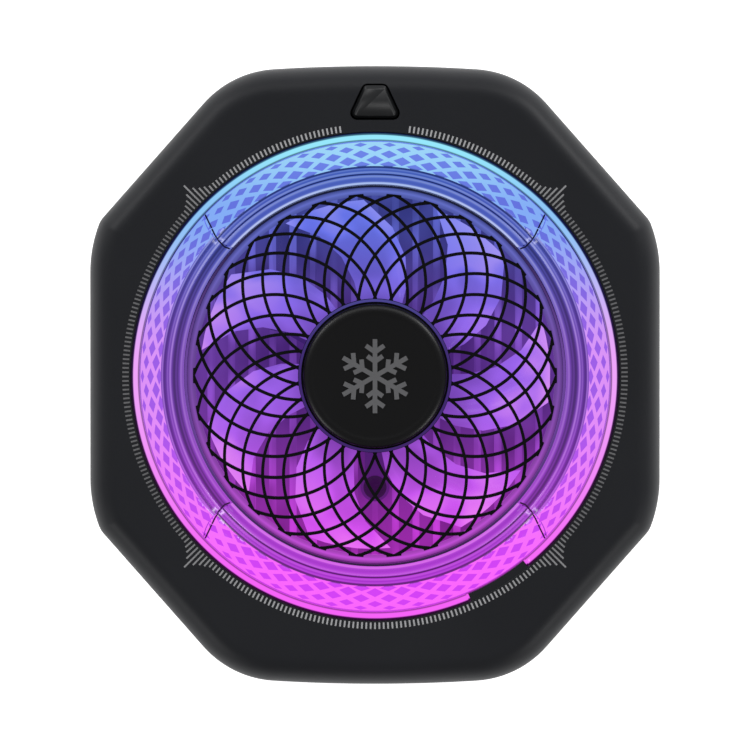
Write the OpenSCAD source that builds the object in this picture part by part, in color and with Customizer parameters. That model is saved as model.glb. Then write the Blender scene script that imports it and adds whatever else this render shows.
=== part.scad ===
// Phone cooling fan: a magnetic cooler with a thermoelectric plate, a finned heatsink,
// a lit ring and an axial fan behind a spirograph grille. Millimetres. The face that
// meets the phone lies on z = 0, the fan looks along +Z and the button sits toward +Y.

/* [Housing] */
// Distance from the lit opening to the side edges
side_margin = 4.8; // [4.6:0.1:5.6]
// Distance from the lit opening to the top and bottom edges
top_margin = 7.6; // [7.3:0.1:8.6]
// Slope of the diagonal edges
diagonal_a = 48.6; // [47.5:0.1:49.5]
// Radius of the slight bow of the top and bottom edges in housing heights
bow_share = 2.7; // [2.2:0.1:3.4]
// Half angle of that bow
bow_turn = 3.5; // [2.5:0.1:4.5]
// Radius of the corners beside the top and bottom edges in housing heights
corner_share = 0.131; // [0.115:0.001:0.15]
// Radius of the tight corners above and below the sides
side_corner_r = 3; // [2.5:0.1:4]
// Turn of those tight corners
side_turn = 21; // [18:0.5:24]
// Radius of the shoulder that runs into the straight side
shoulder_r = 27; // [20:0.5:34]
// Thickness of the housing walls
wall = 1.6; // [1.4:0.1:1.8]
// Height of the joint between the front and rear covers
parting_z = 9; // [8.8:0.1:9.2]
// Width of the rounded front edge
edge_w = 3; // [2.6:0.1:3.2]
// Depth of the rounded front edge
edge_h = 4; // [3.4:0.1:4.4]
// Step between the rims of the two covers
rim_step = 0.25; // [0.15:0.05:0.4]
// Thickness of the rear floor
floor_t = 0.8; // [0.7:0.05:0.9]

/* [Vents] */
// Width of one air slot
vent_w = 1.5; // [1.2:0.1:1.8]
// Height of one air slot
vent_h = 6.5; // [5:0.1:7]
// Spacing of the air slots
vent_pitch = 3.1; // [2.8:0.1:3.3]
// Air slots on each diagonal wall
vents_diagonal = 6; // [4:1:6]
// Air slots on the top wall
vents_top = 8; // [6:1:8]
// Height of the foot of the slots
vent_z = 10.6; // [10.4:0.1:11.4]

/* [Contact side] */
// Thickness of the soft contact ring
contact_t = 0.8; // [0.7:0.05:1]
// Gap between the cold plate and the soft contact ring
contact_gap = 1; // [0.8:0.1:1.4]
// Overlap of the soft contact ring past the magnets
contact_lip = 0.8; // [0.4:0.1:1]
// Thickness of the film on the cold plate
film_t = 0.3; // [0.2:0.05:0.4]
// Width of the flange that holds the cold plate
flange_w = 1; // [0.9:0.1:1.1]
// Thickness of that flange
flange_t = 0.8; // [0.7:0.05:0.9]
// Number of ring magnets
magnet_count = 16; // [12:2:18]
// Distance from the lit opening in to the magnet ring
magnet_inset = 0.7; // [0.5:0.1:1.2]
// Width of the magnet ring
magnet_w = 4; // [3.4:0.1:4.4]
// Thickness of the magnets
magnet_t = 1.6; // [1.5:0.05:1.7]
// Gap between two magnets
magnet_gap = 0.5; // [0.4:0.1:0.8]
// Thickness of the steel ring behind the magnets
shunt_t = 0.4; // [0.3:0.05:0.4]

/* [Thermoelectric module and heatsink] */
// Side of the thermoelectric module in radii of the cold plate
tec_share = 1.35; // [1.2:0.01:1.36]
// Thickness of one ceramic
ceramic_t = 0.7; // [0.65:0.05:0.75]
// Height of the pellets
pellet_h = 1.4; // [1.35:0.05:1.5]
// Side of one pellet
pellet_w = 1.7; // [1.4:0.1:2]
// Pellets along one side
pellet_count = 8; // [6:2:10]
// Width of the foam round the module
foam_w = 0.9; // [0.7:0.1:1]
// Radius of one module lead
lead_r = 0.4; // [0.35:0.05:0.4]
// Distance between the module leads
lead_gap = 6; // [5:0.1:7]
// Overhang of the heatsink base past the cold plate
sink_margin = 0.8; // [0.6:0.1:1]
// Thickness of the heatsink base
sink_base_t = 2; // [1.9:0.1:2.1]
// Height of the fins
fin_h = 8; // [7.8:0.1:8.2]
// Thickness of a fin
fin_t = 0.8; // [0.6:0.1:1]
// Spacing of the fins
fin_pitch = 2.4; // [2.35:0.05:2.45]

/* [Fan] */
// Radius of the impeller hub
hub_r = 8.2; // [8.1:0.05:8.4]
// Wall of the impeller hub
hub_wall = 0.6; // [0.55:0.05:0.65]
// Depth of the impeller hub
hub_h = 6.4; // [6.3:0.1:6.6]
// Number of blades
blade_count = 7; // [5:1:9]
// Distance from the blade tips out to the grille tips
blade_gap = 0.75; // [0.6:0.05:1.2]
// Angle that a blade sweeps from root to tip
blade_sweep = 22; // [16:1:26]
// Angle that a blade covers at its root
blade_root_a = 34; // [28:1:38]
// Angle that a blade covers at its tip
blade_tip_a = 27; // [22:1:30]
// Thickness of a blade
blade_t = 0.9; // [0.7:0.1:1.1]
// Turn of the first blade
blade_start_a = 33.8; // [20:0.1:50]
// Radius of the shaft
shaft_r = 1; // [0.9:0.05:1.05]
// Running clearance of the shaft in its bearing
shaft_gap = 0.03; // [0.02:0.01:0.05]
// Radius of the bearing
bearing_r = 2.2; // [2.1:0.05:2.3]
// Thickness of the fan frame
frame_t = 1.2; // [1.1:0.1:1.3]
// Distance of the fan screws from the axis
fan_screw_x = 13.3; // [13:0.1:13.8]
// Number of stator arms
stator_arms = 6; // [6:3:9]
// Air gap between stator and rotor magnet
air_gap = 0.3; // [0.25:0.05:0.4]

/* [Light ring] */
// Radius of the lit opening in the front cover
ring_r = 28.3; // [28.1:0.1:28.5]
// Width of the bright outer ring
bright_w = 0.75; // [0.65:0.05:0.8]
// First angle of the black key in the bright ring
key_from_a = -67; // [-70:1:-64]
// Last angle of the black key in the bright ring
key_to_a = -51; // [-54:1:-48]
// Depth of the black key
key_h = 1.5; // [1.2:0.1:1.8]
// Diamonds in one turn of the lattice
diamond_count = 50; // [46:2:54]
// Thickness of the lattice
lattice_t = 0.35; // [0.3:0.05:0.45]
// Width of the lattice on the top and bottom segments
lattice_w = 2.85; // [2.7:0.05:2.95]
// Width of the lattice on the side segments
lattice_side_w = 2.4; // [2.3:0.05:2.5]
// Seam gap between two lens segments
seam_gap = 0.12; // [0.1:0.01:0.15]
// Radius of a seam arc
seam_r = 4.64; // [4.4:0.01:4.8]
// Bulge of a seam arc toward the side segment
seam_bow = 1.1; // [0.9:0.05:1.2]
// Angle of the seams above the side
seam_a = 43.55; // [42:0.05:45]
// Number of LEDs
led_count = 24; // [20:2:28]
// Side of one LED
led_w = 1.6; // [1.4:0.1:1.8]

/* [Grille and hub] */
// Number of circles in the grille
circle_count = 30; // [30:1:30]
// Radius of one grille circle in radii of the tips
circle_share = 0.503; // [0.502:0.001:0.505]
// Distance of the circle centres from the axis in radii of the tips
circle_reach = 0.5513; // [0.55:0.0005:0.552]
// Width of a grille bar
bar_w = 0.36; // [0.34:0.01:0.42]
// Thickness of the grille
grille_t = 1; // [0.9:0.05:1.1]
// Distance from the lit opening in to the grille tips
ring_w = 7.15; // [7:0.05:7.4]
// Radius of the hub cap
cap_r = 8.35; // [8.2:0.05:8.4]
// Height of the hub cap
cap_h = 1.8; // [1.6:0.1:2]
// Bevel of the hub cap
cap_bevel = 0.95; // [0.8:0.05:1.1]

/* [Button] */
// Width of the button at its lower edge
button_w = 5.35; // [5.2:0.05:5.6]
// Width of the button at its upper edge
button_top_w = 2.9; // [2.7:0.05:3.2]
// Gap round the button
button_gap = 0.2; // [0.15:0.05:0.25]
// Travel of the button
button_travel = 0.4; // [0.3:0.05:0.4]

/* [Socket] */
// Width of the socket shell
usb_w = 8.94; // [8.8:0.02:9]
// Height of the socket shell
usb_h = 3.26; // [3.2:0.02:3.3]
// Length of the socket shell
usb_l = 7.3; // [7:0.1:7.6]
// Wall of the socket shell
usb_wall = 0.3; // [0.25:0.05:0.35]

/* [Hidden] */
$fn = 64;
e = 0.01;
fit_gap = 0.05;
seat_gap = 0.1;
min_r = 0.2;
board_t = 0.8;
screw_r = 0.75;
screw_head_r = 1.35;
screw_head_h = 0.9;

// Housing size
body_w = 2 * (ring_r + side_margin);
body_h = 2 * (ring_r + top_margin);
bow_r = bow_share * body_h;
top_corner_r = corner_share * body_h;

// Levels from the phone to the front
floor_z = contact_t;
belt_z = floor_z + 3.6;
inside_z = floor_z + floor_t;
flange_z = inside_z + flange_t;
pellet_z = flange_z + ceramic_t;
hot_z = pellet_z + pellet_h;
sink_z = hot_z + ceramic_t;
sink_top_z = sink_z + sink_base_t;
fin_top_z = sink_top_z + fin_h;
frame_z = fin_top_z + 0.4;
frame_top_z = frame_z + frame_t;
hub_z = frame_top_z + 0.4;
hub_top_z = hub_z + hub_h;
grille_z = hub_top_z + 0.6;
grille_top_z = grille_z + grille_t;
front_z = grille_top_z + 3;
inner_front_z = front_z - wall;
tray_z = front_z - 7.6;
tray_top_z = tray_z + 1;
lens_z = front_z - 0.8;
throat_z = grille_z - 1.2;
hub_in_r = hub_r - hub_wall;

// Radii of the contact side
magnet_out_r = ring_r - magnet_inset;
magnet_in_r = magnet_out_r - magnet_w;
flange_r = magnet_in_r - 0.4;
plate_r = flange_r - flange_w;
plate_hole_r = plate_r + 0.3;
contact_in_r = plate_r + contact_gap;
contact_out_r = magnet_out_r + contact_lip;

// Module and heatsink
tec_w = tec_share * plate_r;
sink_w = 2 * (plate_r + sink_margin);
sink_screw_x = sink_w / 2 - 1.7;
fin_count = 2 * floor((sink_screw_x - 1.6 - fin_t / 2) / fin_pitch) + 1;

// Grille and fan
tip_r = ring_r - ring_w;
blade_r = tip_r - blade_gap;
circle_r = circle_share * tip_r;
circle_x = circle_reach * tip_r;
grille_hub_r = cap_r + 0.6;

// Places of the screws
case_screw_x = 13.5;
case_screw_y = body_h / 2 - 7.4;
case_screws_xy = [for (sx = [-1, 1]) for (sy = [-1, 1]) [sx * case_screw_x, sy * case_screw_y]];
case_seat_z = inside_z + 0.8;
case_boss_z = inside_z + 2.4;
tray_screw_x = ring_r + 2.3;
fan_screw_angles = [30, 150, 270];

// Board with the socket
main_z = parting_z + 1;
main_top_z = main_z + board_t;
usb_z = main_top_z + usb_h / 2;
usb_y = -body_h / 2 + 0.7;
main_w = 22;
main_y = -body_h / 2 + 3.2;
main_l = 7.7;
main_posts_xy = [for (s = [-1, 1]) [s * (main_w / 2 - 2), main_y + 2.7]];

// Button and switch
button_h = top_margin / 2;
button_y = ring_r + 0.467 * top_margin;
button_lip = 0.45;
button_top_z = front_z + 0.15;
button_flange_z = inner_front_z - seat_gap - 0.7;
button_board_z = tray_top_z;
switch_z = button_board_z + board_t;

// Light ring radii
collar_r = ring_r + 0.9;
bright_out_r = ring_r - 0.2;
bright_in_r = bright_out_r - bright_w;
lens_out_r = bright_in_r - 0.1;
bezel_out_r = tip_r + 1;
bezel_in_r = bezel_out_r - 0.25;
lens_in_r = bezel_out_r + 0.1;
lattice_in_r = lens_out_r - lattice_w;
lattice_side_r = lens_out_r - lattice_side_w;
tray_in_r = blade_r + 0.9;
led_r = (lens_in_r + lens_out_r) / 2;

// Housing outline: one quarter is a chain of tangent arcs from the middle of the top
// edge to the straight side. The inset moves the whole chain inward.
function arc_step(r, a, b) = [r * (sin(b) - sin(a)), r * (cos(b) - cos(a))];

function outline_quarter(inset) =
    let (
        r_bow = bow_r - inset,
        r_top = max(top_corner_r - inset, min_r),
        r_side = max(side_corner_r - inset, min_r),
        r_shoulder = shoulder_r - inset,
        side_a = diagonal_a + side_turn,
        start = [0, body_h / 2 - inset],
        bow_end = start + arc_step(r_bow, 0, bow_turn),
        top_end = bow_end + arc_step(r_top, bow_turn, diagonal_a),
        tail = arc_step(r_side, diagonal_a, side_a) + arc_step(r_shoulder, side_a, 90),
        run = (body_w / 2 - inset - top_end[0] - tail[0]) / cos(diagonal_a),
        side_start = top_end + run * [cos(diagonal_a), -sin(diagonal_a)],
        shoulder_start = side_start + arc_step(r_side, diagonal_a, side_a)
    )
    concat(
        [for (i = [0:2]) start + arc_step(r_bow, 0, bow_turn * i / 2)],
        [for (i = [1:5]) bow_end + arc_step(r_top, bow_turn, bow_turn + (diagonal_a - bow_turn) * i / 5)],
        [for (i = [0:3]) side_start + arc_step(r_side, diagonal_a, diagonal_a + side_turn * i / 3)],
        [for (i = [1:4]) shoulder_start + arc_step(r_shoulder, side_a, side_a + (90 - side_a) * i / 4)]
    );

function outline(inset) =
    let (q = outline_quarter(inset), n = len(q) - 1)
    concat(
        q,
        [for (i = [n:-1:0]) [q[i][0], -q[i][1]]],
        [for (i = [1:n]) [-q[i][0], -q[i][1]]],
        [for (i = [n:-1:1]) [-q[i][0], q[i][1]]]
    );

// Skin over outlines, one for each [inset, height] level
module loft(levels) {
    rings = [for (level = levels) outline(level[0])];
    n = len(rings[0]);
    last = len(levels) - 1;
    points = [for (k = [0:last]) for (p = rings[k]) [p[0], p[1], levels[k][1]]];
    bottom = [[for (i = [n - 1:-1:0]) i]];
    top = [[for (i = [0:n - 1]) last * n + i]];
    sides = [
        for (k = [0:last - 1])
            for (i = [0:n - 1])
                let (j = (i + 1) % n, a = k * n, b = a + n)
                    for (face = [[a + i, a + j, b + j], [a + i, b + j, b + i]]) face
    ];
    polyhedron(points, concat(bottom, sides, top));
}

// Flat ring of a given height
module tube(out_r, in_r, h) {
    linear_extrude(h)
        difference() {
            circle(out_r);
            circle(in_r);
        }
}

// Pie slice that reaches past the housing
module slice(from_a, to_a) {
    mid_a = (from_a + to_a) / 2;
    polygon([
        [0, 0],
        60 * [cos(from_a), sin(from_a)],
        60 * [cos(mid_a), sin(mid_a)],
        60 * [cos(to_a), sin(to_a)]
    ]);
}

// Socket screw that stands on z = 0 with its head below
module screw(length) {
    difference() {
        union() {
            translate([0, 0, -screw_head_h])
                cylinder(r = screw_head_r, h = screw_head_h);
            cylinder(r = screw_r, h = length);
        }
        translate([0, 0, -screw_head_h - e])
            cylinder(r = 0.7, h = 0.55, $fn = 6);
    }
}

// Trapezoid face of the button, grown by an even margin
module button_face(grow) {
    r = 0.6 + grow;
    dy = button_h / 2 - 0.6;
    hull() {
        for (s = [-1, 1]) {
            translate([s * (button_w / 2 - 0.6), button_y - dy])
                circle(r, $fn = 24);
            translate([s * (button_top_w / 2 - 0.6), button_y + dy])
                circle(r, $fn = 24);
        }
    }
}

// Rounded section of the socket
module usb_section(grow) {
    r = usb_h / 2 + grow;
    dx = usb_w / 2 - usb_h / 2;
    square([2 * dx, 2 * r], center = true);
    for (s = [-1, 1]) {
        translate([s * dx, 0])
            circle(r);
    }
}

// Air slots of one wall, in a row across +Y at a distance from the axis
module vent_row(count, distance) {
    for (i = [0:count - 1]) {
        translate([(i - (count - 1) / 2) * vent_pitch - vent_w / 2, distance - 4, vent_z])
            cube([vent_w, 8, vent_h]);
    }
}

module vents() {
    corner = outline_quarter(0);
    middle = (corner[7] + corner[8]) / 2;
    across = [cos(diagonal_a), -sin(diagonal_a)];
    for (sx = [0, 1]) {
        for (sy = [0, 1]) {
            mirror([sx, 0, 0])
                mirror([0, sy, 0])
                    rotate(-diagonal_a)
                        translate([middle * across, 0, 0])
                            vent_row(vents_diagonal, body_h / 2);
        }
    }
    vent_row(vents_top, body_h / 2);
    for (s = [-1, 1]) {
        for (i = [0:1]) {
            translate([s * (usb_w / 2 + 2.9 + i * vent_pitch) - vent_w / 2, -body_h / 2 - 4, vent_z])
                cube([vent_w, 8, vent_h]);
        }
    }
}

module front_cover() {
    outer = concat(
        [[1, parting_z], [0.4, parting_z + 5], [0, parting_z + 10]],
        [for (a = [0:15:90]) [edge_w * (1 - cos(a)), front_z - edge_h * (1 - sin(a))]]
    );
    inner = [
        [1 + wall, parting_z - e],
        [0.4 + wall, parting_z + 5],
        [wall, parting_z + 10],
        [wall, front_z - edge_h],
        [wall + 0.6, front_z - edge_h + 1.2],
        [wall + 2, inner_front_z]
    ];
    color("#242527")
        difference() {
            union() {
                difference() {
                    loft(outer);
                    loft(inner);
                    vents();
                    translate([0, -body_h / 2, usb_z])
                        rotate([90, 0, 0])
                            linear_extrude(8, center = true)
                                usb_section(0.3);
                }
                // Collar that centres the light ring
                translate([0, 0, tray_top_z])
                    cylinder(r = collar_r, h = inner_front_z - tray_top_z + e);
                for (p = case_screws_xy) {
                    translate([p[0], p[1], case_boss_z])
                        cylinder(r = 2, h = inner_front_z - case_boss_z + e);
                }
                for (a = [45:90:315]) {
                    rotate(a)
                        translate([tray_screw_x, 0, tray_top_z])
                            cylinder(r = 1.7, h = inner_front_z - tray_top_z + e);
                }
            }
            difference() {
                translate([0, 0, tray_top_z - 1])
                    cylinder(r = ring_r, h = front_z);
                // Black key that interrupts the bright ring
                translate([0, 0, front_z - key_h])
                    linear_extrude(key_h)
                        intersection() {
                            difference() {
                                circle(ring_r + 0.5);
                                circle(bright_in_r);
                            }
                            slice(key_from_a, key_to_a);
                        }
            }
            translate([0, 0, inner_front_z - 1])
                linear_extrude(4)
                    button_face(button_gap);
            // Room for the lip that keeps the button in
            translate([0, 0, button_flange_z - button_travel - 0.6])
                linear_extrude(inner_front_z - button_flange_z + button_travel + 0.6)
                    button_face(button_lip + 0.3);
            for (p = case_screws_xy) {
                translate([p[0], p[1], case_boss_z - e])
                    cylinder(r = screw_r + fit_gap, h = 8);
            }
            for (a = [45:90:315]) {
                rotate(a)
                    translate([tray_screw_x, 0, tray_top_z - e])
                        cylinder(r = screw_r + fit_gap, h = 4);
            }
        }
}

module rear_cover() {
    outer = [
        [3.6, floor_z],
        [2.7, floor_z + 0.4],
        [2.2, floor_z + 1.2],
        [1.6, belt_z],
        [1 + rim_step, parting_z]
    ];
    inner = [
        [4.2, inside_z],
        [1.6 + wall, belt_z],
        [1 + wall, parting_z + e]
    ];
    color("#1f2022")
        difference() {
            union() {
                difference() {
                    loft(outer);
                    loft(inner);
                }
                for (p = case_screws_xy) {
                    translate([p[0], p[1], inside_z - e])
                        cylinder(r = 2.2, h = case_boss_z - inside_z + e);
                }
                for (sx = [-1, 1]) {
                    for (sy = [-1, 1]) {
                        translate([sx * sink_screw_x, sy * sink_screw_x, inside_z - e])
                            cylinder(r = 1.5, h = sink_z - inside_z + e);
                    }
                }
                for (p = main_posts_xy) {
                    translate([p[0], p[1], inside_z - e])
                        cylinder(r = 1.2, h = main_z - inside_z + e);
                }
            }
            translate([0, 0, floor_z - 1])
                cylinder(r = plate_hole_r, h = floor_t + 2);
            for (p = case_screws_xy) {
                translate([p[0], p[1], floor_z - e])
                    cylinder(r = screw_head_r + 0.3, h = case_seat_z - floor_z + e);
                translate([p[0], p[1], floor_z])
                    cylinder(r = screw_r + fit_gap, h = 5);
            }
            for (sx = [-1, 1]) {
                for (sy = [-1, 1]) {
                    translate([sx * sink_screw_x, sy * sink_screw_x, inside_z + 0.4])
                        cylinder(r = screw_r + fit_gap, h = 6);
                    translate([sx * sink_screw_x, sy * sink_screw_x, sink_z])
                        cylinder(r = screw_head_r + 0.3, h = parting_z);
                }
            }
        }
}

module contact_ring() {
    color("#2b2c2e")
        tube(contact_out_r, contact_in_r, contact_t);
}

module thermal_film() {
    color("#8c9096")
        cylinder(r = plate_r - 0.2, h = film_t);
}

module cold_plate() {
    color("#c9ccd0") {
        translate([0, 0, film_t])
            cylinder(r = plate_r, h = inside_z - film_t);
        translate([0, 0, inside_z])
            cylinder(r = flange_r, h = flange_t);
    }
}

module ring_magnets() {
    half_a = 180 / magnet_count - magnet_gap / magnet_out_r * 90 / PI;
    color("#b4b7bb")
        for (i = [0:magnet_count - 1]) {
            rotate((i + 0.5) * 360 / magnet_count)
                translate([0, 0, inside_z])
                    linear_extrude(magnet_t)
                        intersection() {
                            difference() {
                                circle(magnet_out_r);
                                circle(magnet_in_r);
                            }
                            slice(-half_a, half_a);
                        }
        }
}

module shunt_ring() {
    color("#9a9da1")
        translate([0, 0, inside_z + magnet_t])
            tube(magnet_out_r, magnet_in_r, shunt_t);
}

module tec_cold_ceramic() {
    color("#efefec")
        translate([-tec_w / 2, -tec_w / 2, flange_z])
            cube([tec_w, tec_w, ceramic_t]);
}

module tec_pellets() {
    pitch = (tec_w - 1) / pellet_count;
    color("#8a8d92")
        for (i = [0:pellet_count - 1]) {
            for (j = [0:pellet_count - 1]) {
                translate([
                    (i - (pellet_count - 1) / 2) * pitch - pellet_w / 2,
                    (j - (pellet_count - 1) / 2) * pitch - pellet_w / 2,
                    pellet_z
                ])
                    cube([pellet_w, pellet_w, pellet_h]);
            }
        }
}

module tec_hot_ceramic() {
    color("#efefec")
        translate([-tec_w / 2, -tec_w / 2, hot_z])
            cube([tec_w, tec_w, ceramic_t]);
}

// Two leads run from the module under the heatsink and turn up to the main board
module tec_leads() {
    lead_z = sink_z - lead_r - 0.3;
    lead_start_y = -tec_w / 2;
    bend_r = 1.5;
    bend_y = main_y + 5.2;
    for (s = [-1, 1]) {
        color(s < 0 ? "#b02a2a" : "#1c1c1e")
            translate([s * lead_gap / 2, 0, lead_z]) {
                translate([0, lead_start_y, 0])
                    rotate([90, 0, 0])
                        cylinder(r = lead_r, h = lead_start_y - bend_y, $fn = 24);
                translate([0, bend_y, bend_r])
                    rotate([0, 90, 0])
                        rotate(180)
                            intersection() {
                                rotate_extrude($fn = 24)
                                    translate([bend_r, 0])
                                        circle(lead_r);
                                translate([-4, 0, -2])
                                    cube([4, 4, 4]);
                            }
                translate([0, bend_y - bend_r, bend_r])
                    cylinder(r = lead_r, h = main_z - lead_z - bend_r - fit_gap, $fn = 24);
            }
    }
}

module foam_gasket() {
    out_w = tec_w + 0.6 + 2 * foam_w;
    color("#3a3a3c")
        difference() {
            translate([0, 0, flange_z])
                linear_extrude(sink_z - flange_z)
                    difference() {
                        square(out_w, center = true);
                        square(tec_w + 0.6, center = true);
                    }
            translate([-lead_gap / 2 - 0.8, -out_w, flange_z + 1])
                cube([lead_gap + 1.6, out_w, sink_z]);
        }
}

module heatsink() {
    color("#b9bcc2")
        difference() {
            union() {
                translate([-sink_w / 2, -sink_w / 2, sink_z])
                    cube([sink_w, sink_w, sink_base_t]);
                for (i = [0:fin_count - 1]) {
                    translate([
                        (i - (fin_count - 1) / 2) * fin_pitch - fin_t / 2,
                        -sink_w / 2 + 1,
                        sink_top_z - e
                    ])
                        cube([fin_t, sink_w - 2, fin_h + e]);
                }
                for (a = fan_screw_angles) {
                    rotate(a)
                        translate([fan_screw_x, 0, sink_top_z - e])
                            cylinder(r = 1.7, h = frame_z - sink_top_z + e);
                }
            }
            for (sx = [-1, 1]) {
                for (sy = [-1, 1]) {
                    translate([sx * sink_screw_x, sy * sink_screw_x, sink_z - 1])
                        cylinder(r = screw_r + fit_gap, h = 6);
                }
            }
            for (a = fan_screw_angles) {
                rotate(a)
                    translate([fan_screw_x, 0, frame_z - 5])
                        cylinder(r = screw_r + fit_gap, h = 6);
            }
        }
}

module heatsink_screws() {
    color("#8e9196")
        for (sx = [-1, 1]) {
            for (sy = [-1, 1]) {
                translate([sx * sink_screw_x, sy * sink_screw_x, sink_top_z])
                    rotate([180, 0, 0])
                        screw(4.6);
            }
        }
}

module case_screws() {
    color("#3c3e41")
        for (p = case_screws_xy) {
            translate([p[0], p[1], case_seat_z])
                screw(6);
        }
}

module main_board() {
    color("#16402c")
        translate([-main_w / 2, main_y, main_z])
            cube([main_w, main_l, board_t]);
}

module usb_socket() {
    color("#c4c7cb")
        translate([0, usb_y, usb_z])
            rotate([-90, 0, 0])
                difference() {
                    linear_extrude(usb_l)
                        usb_section(0);
                    translate([0, 0, -e])
                        linear_extrude(usb_l - 0.6 + e)
                            usb_section(-usb_wall);
                }
}

module usb_tongue() {
    color("#1a1a1b")
        translate([-3.35, usb_y + 0.9, usb_z - 0.35])
            cube([6.7, usb_l - 1.5, 0.7]);
}

module controller_chips() {
    color("#202124") {
        translate([main_w / 2 - 4.8, main_y + 2.1, main_top_z])
            cube([4, 4, 0.9]);
        translate([-main_w / 2 + 0.8, main_y + 2.5, main_top_z])
            cube([3.6, 3, 1.2]);
        translate([main_w / 2 - 3.4, main_y + 0.3, main_top_z])
            cube([2, 1.2, 0.7]);
    }
}

// Spider with a bearing tube; its three arms are screwed to posts of the heatsink
module fan_frame() {
    color("#2a2b2e")
        difference() {
            union() {
                translate([0, 0, frame_z])
                    cylinder(r = hub_r, h = frame_t);
                translate([0, 0, frame_z])
                    cylinder(r = bearing_r + 0.95, h = hub_z + 4.3 - frame_z);
                for (a = fan_screw_angles) {
                    rotate(a) {
                        translate([0, -1.2, frame_z])
                            cube([fan_screw_x, 2.4, frame_t]);
                        translate([fan_screw_x, 0, frame_z])
                            cylinder(r = 1.7, h = frame_t);
                    }
                }
            }
            translate([0, 0, frame_z + 0.4])
                cylinder(r = bearing_r + 0.02, h = 12);
            for (a = fan_screw_angles) {
                rotate(a)
                    translate([fan_screw_x, 0, frame_z - 1])
                        cylinder(r = screw_r + fit_gap, h = 4);
            }
        }
}

module fan_screws() {
    color("#2d2f33")
        for (a = fan_screw_angles) {
            rotate(a)
                translate([fan_screw_x, 0, frame_top_z])
                    rotate([180, 0, 0])
                        screw(4.5);
        }
}

module bearing() {
    color("#b08a4a")
        translate([0, 0, frame_top_z + 0.2])
            tube(bearing_r, shaft_r + shaft_gap, hub_z + 4.3 - frame_top_z - 0.2);
}

module stator_core() {
    out_r = hub_in_r - 1.1 - air_gap;
    color("#6d7176")
        translate([0, 0, frame_top_z + 1.5])
            linear_extrude(2) {
                difference() {
                    circle(bearing_r + 1.9);
                    circle(bearing_r + 1);
                }
                for (i = [0:stator_arms - 1]) {
                    rotate(i * 360 / stator_arms) {
                        translate([bearing_r + 1.5, -0.5])
                            square([out_r - bearing_r - 2, 1]);
                        intersection() {
                            difference() {
                                circle(out_r);
                                circle(out_r - 0.6);
                            }
                            slice(-150 / stator_arms, 150 / stator_arms);
                        }
                    }
                }
            }
}

module stator_coils() {
    coil_x = bearing_r + 2.1;
    coil_l = hub_in_r - 1.1 - air_gap - 0.8 - coil_x;
    color("#b5652b")
        for (i = [0:stator_arms - 1]) {
            rotate(i * 360 / stator_arms)
                difference() {
                    translate([coil_x, -0.9, frame_top_z + 1.1])
                        cube([coil_l, 1.8, 2.8]);
                    translate([coil_x - 1, -0.5 - fit_gap, frame_top_z + 1.5 - fit_gap])
                        cube([coil_l + 2, 1 + 2 * fit_gap, 2 + 2 * fit_gap]);
                }
        }
}

module fan_board() {
    color("#16402c")
        translate([0, 0, frame_top_z])
            tube(hub_in_r - 1.5, bearing_r + 1, 0.8);
}

// Point of a blade: s runs from root to tip, u across the blade, side is up or down
function blade_point(s, u, side) =
    let (
        root_r = hub_r - 0.3,
        r = root_r + s * (blade_r - root_r),
        half_a = (blade_root_a + s * (blade_tip_a - blade_root_a)) / 2,
        a = blade_start_a + blade_sweep * s * s + half_a * (1 - 2 * u),
        low_z = hub_z + 1.2,
        rise = hub_h - 2.4 - s * 0.7,
        z = low_z + rise * u + 0.5 * sin(180 * u) + side * blade_t / 2
    )
    [r * cos(a), r * sin(a), z];

module blade() {
    nr = 5;
    nu = 6;
    span = nr * nu;
    points = [
        for (side = [-1, 1])
            for (i = [0:nr - 1])
                for (j = [0:nu - 1])
                    blade_point(i / (nr - 1), j / (nu - 1), side)
    ];
    cells = [for (i = [0:nr - 2]) for (j = [0:nu - 2]) i * nu + j];
    lower = [for (c = cells) for (f = [[c, c + 1, c + nu], [c + 1, c + nu + 1, c + nu]]) f];
    upper = [for (f = lower) [f[0] + span, f[2] + span, f[1] + span]];
    rim = concat(
        [for (j = [0:nu - 1]) j],
        [for (i = [1:nr - 1]) i * nu + nu - 1],
        [for (j = [nu - 2:-1:0]) (nr - 1) * nu + j],
        [for (i = [nr - 2:-1:1]) i * nu]
    );
    edge = [
        for (k = [0:len(rim) - 1])
            let (a = rim[k], b = rim[(k + 1) % len(rim)])
                for (f = [[a, b + span, b], [a, a + span, b + span]]) f
    ];
    polyhedron(points, concat(lower, upper, edge));
}

module impeller() {
    color("#7f86c8") {
        difference() {
            translate([0, 0, hub_z])
                cylinder(r = hub_r, h = hub_h);
            translate([0, 0, hub_z - 1])
                cylinder(r = hub_in_r, h = hub_h);
            translate([0, 0, hub_z])
                cylinder(r = shaft_r + 0.02, h = hub_h - 0.4);
        }
        for (i = [0:blade_count - 1]) {
            rotate(i * 360 / blade_count)
                blade();
        }
    }
}

module rotor_yoke() {
    color("#8b8e93")
        translate([0, 0, hub_z + 0.3])
            difference() {
                cylinder(r = hub_in_r - 0.02, h = hub_h - 1.3);
                translate([0, 0, -1])
                    cylinder(r = hub_in_r - 0.5, h = hub_h - 0.8);
                cylinder(r = shaft_r + 0.02, h = hub_h);
            }
}

module rotor_magnet() {
    color("#4a4c50")
        translate([0, 0, hub_z + 0.5])
            tube(hub_in_r - 0.52, hub_in_r - 1.1, 3.6);
}

module shaft() {
    color("#d3d5d8")
        translate([0, 0, frame_z + 0.5])
            cylinder(r = shaft_r, h = hub_top_z - 0.45 - frame_z - 0.5);
}

module shaft_clip() {
    color("#d3d5d8")
        translate([0, 0, frame_z + 0.6])
            tube(bearing_r - 0.4, shaft_r + 0.02, 0.4);
}

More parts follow.
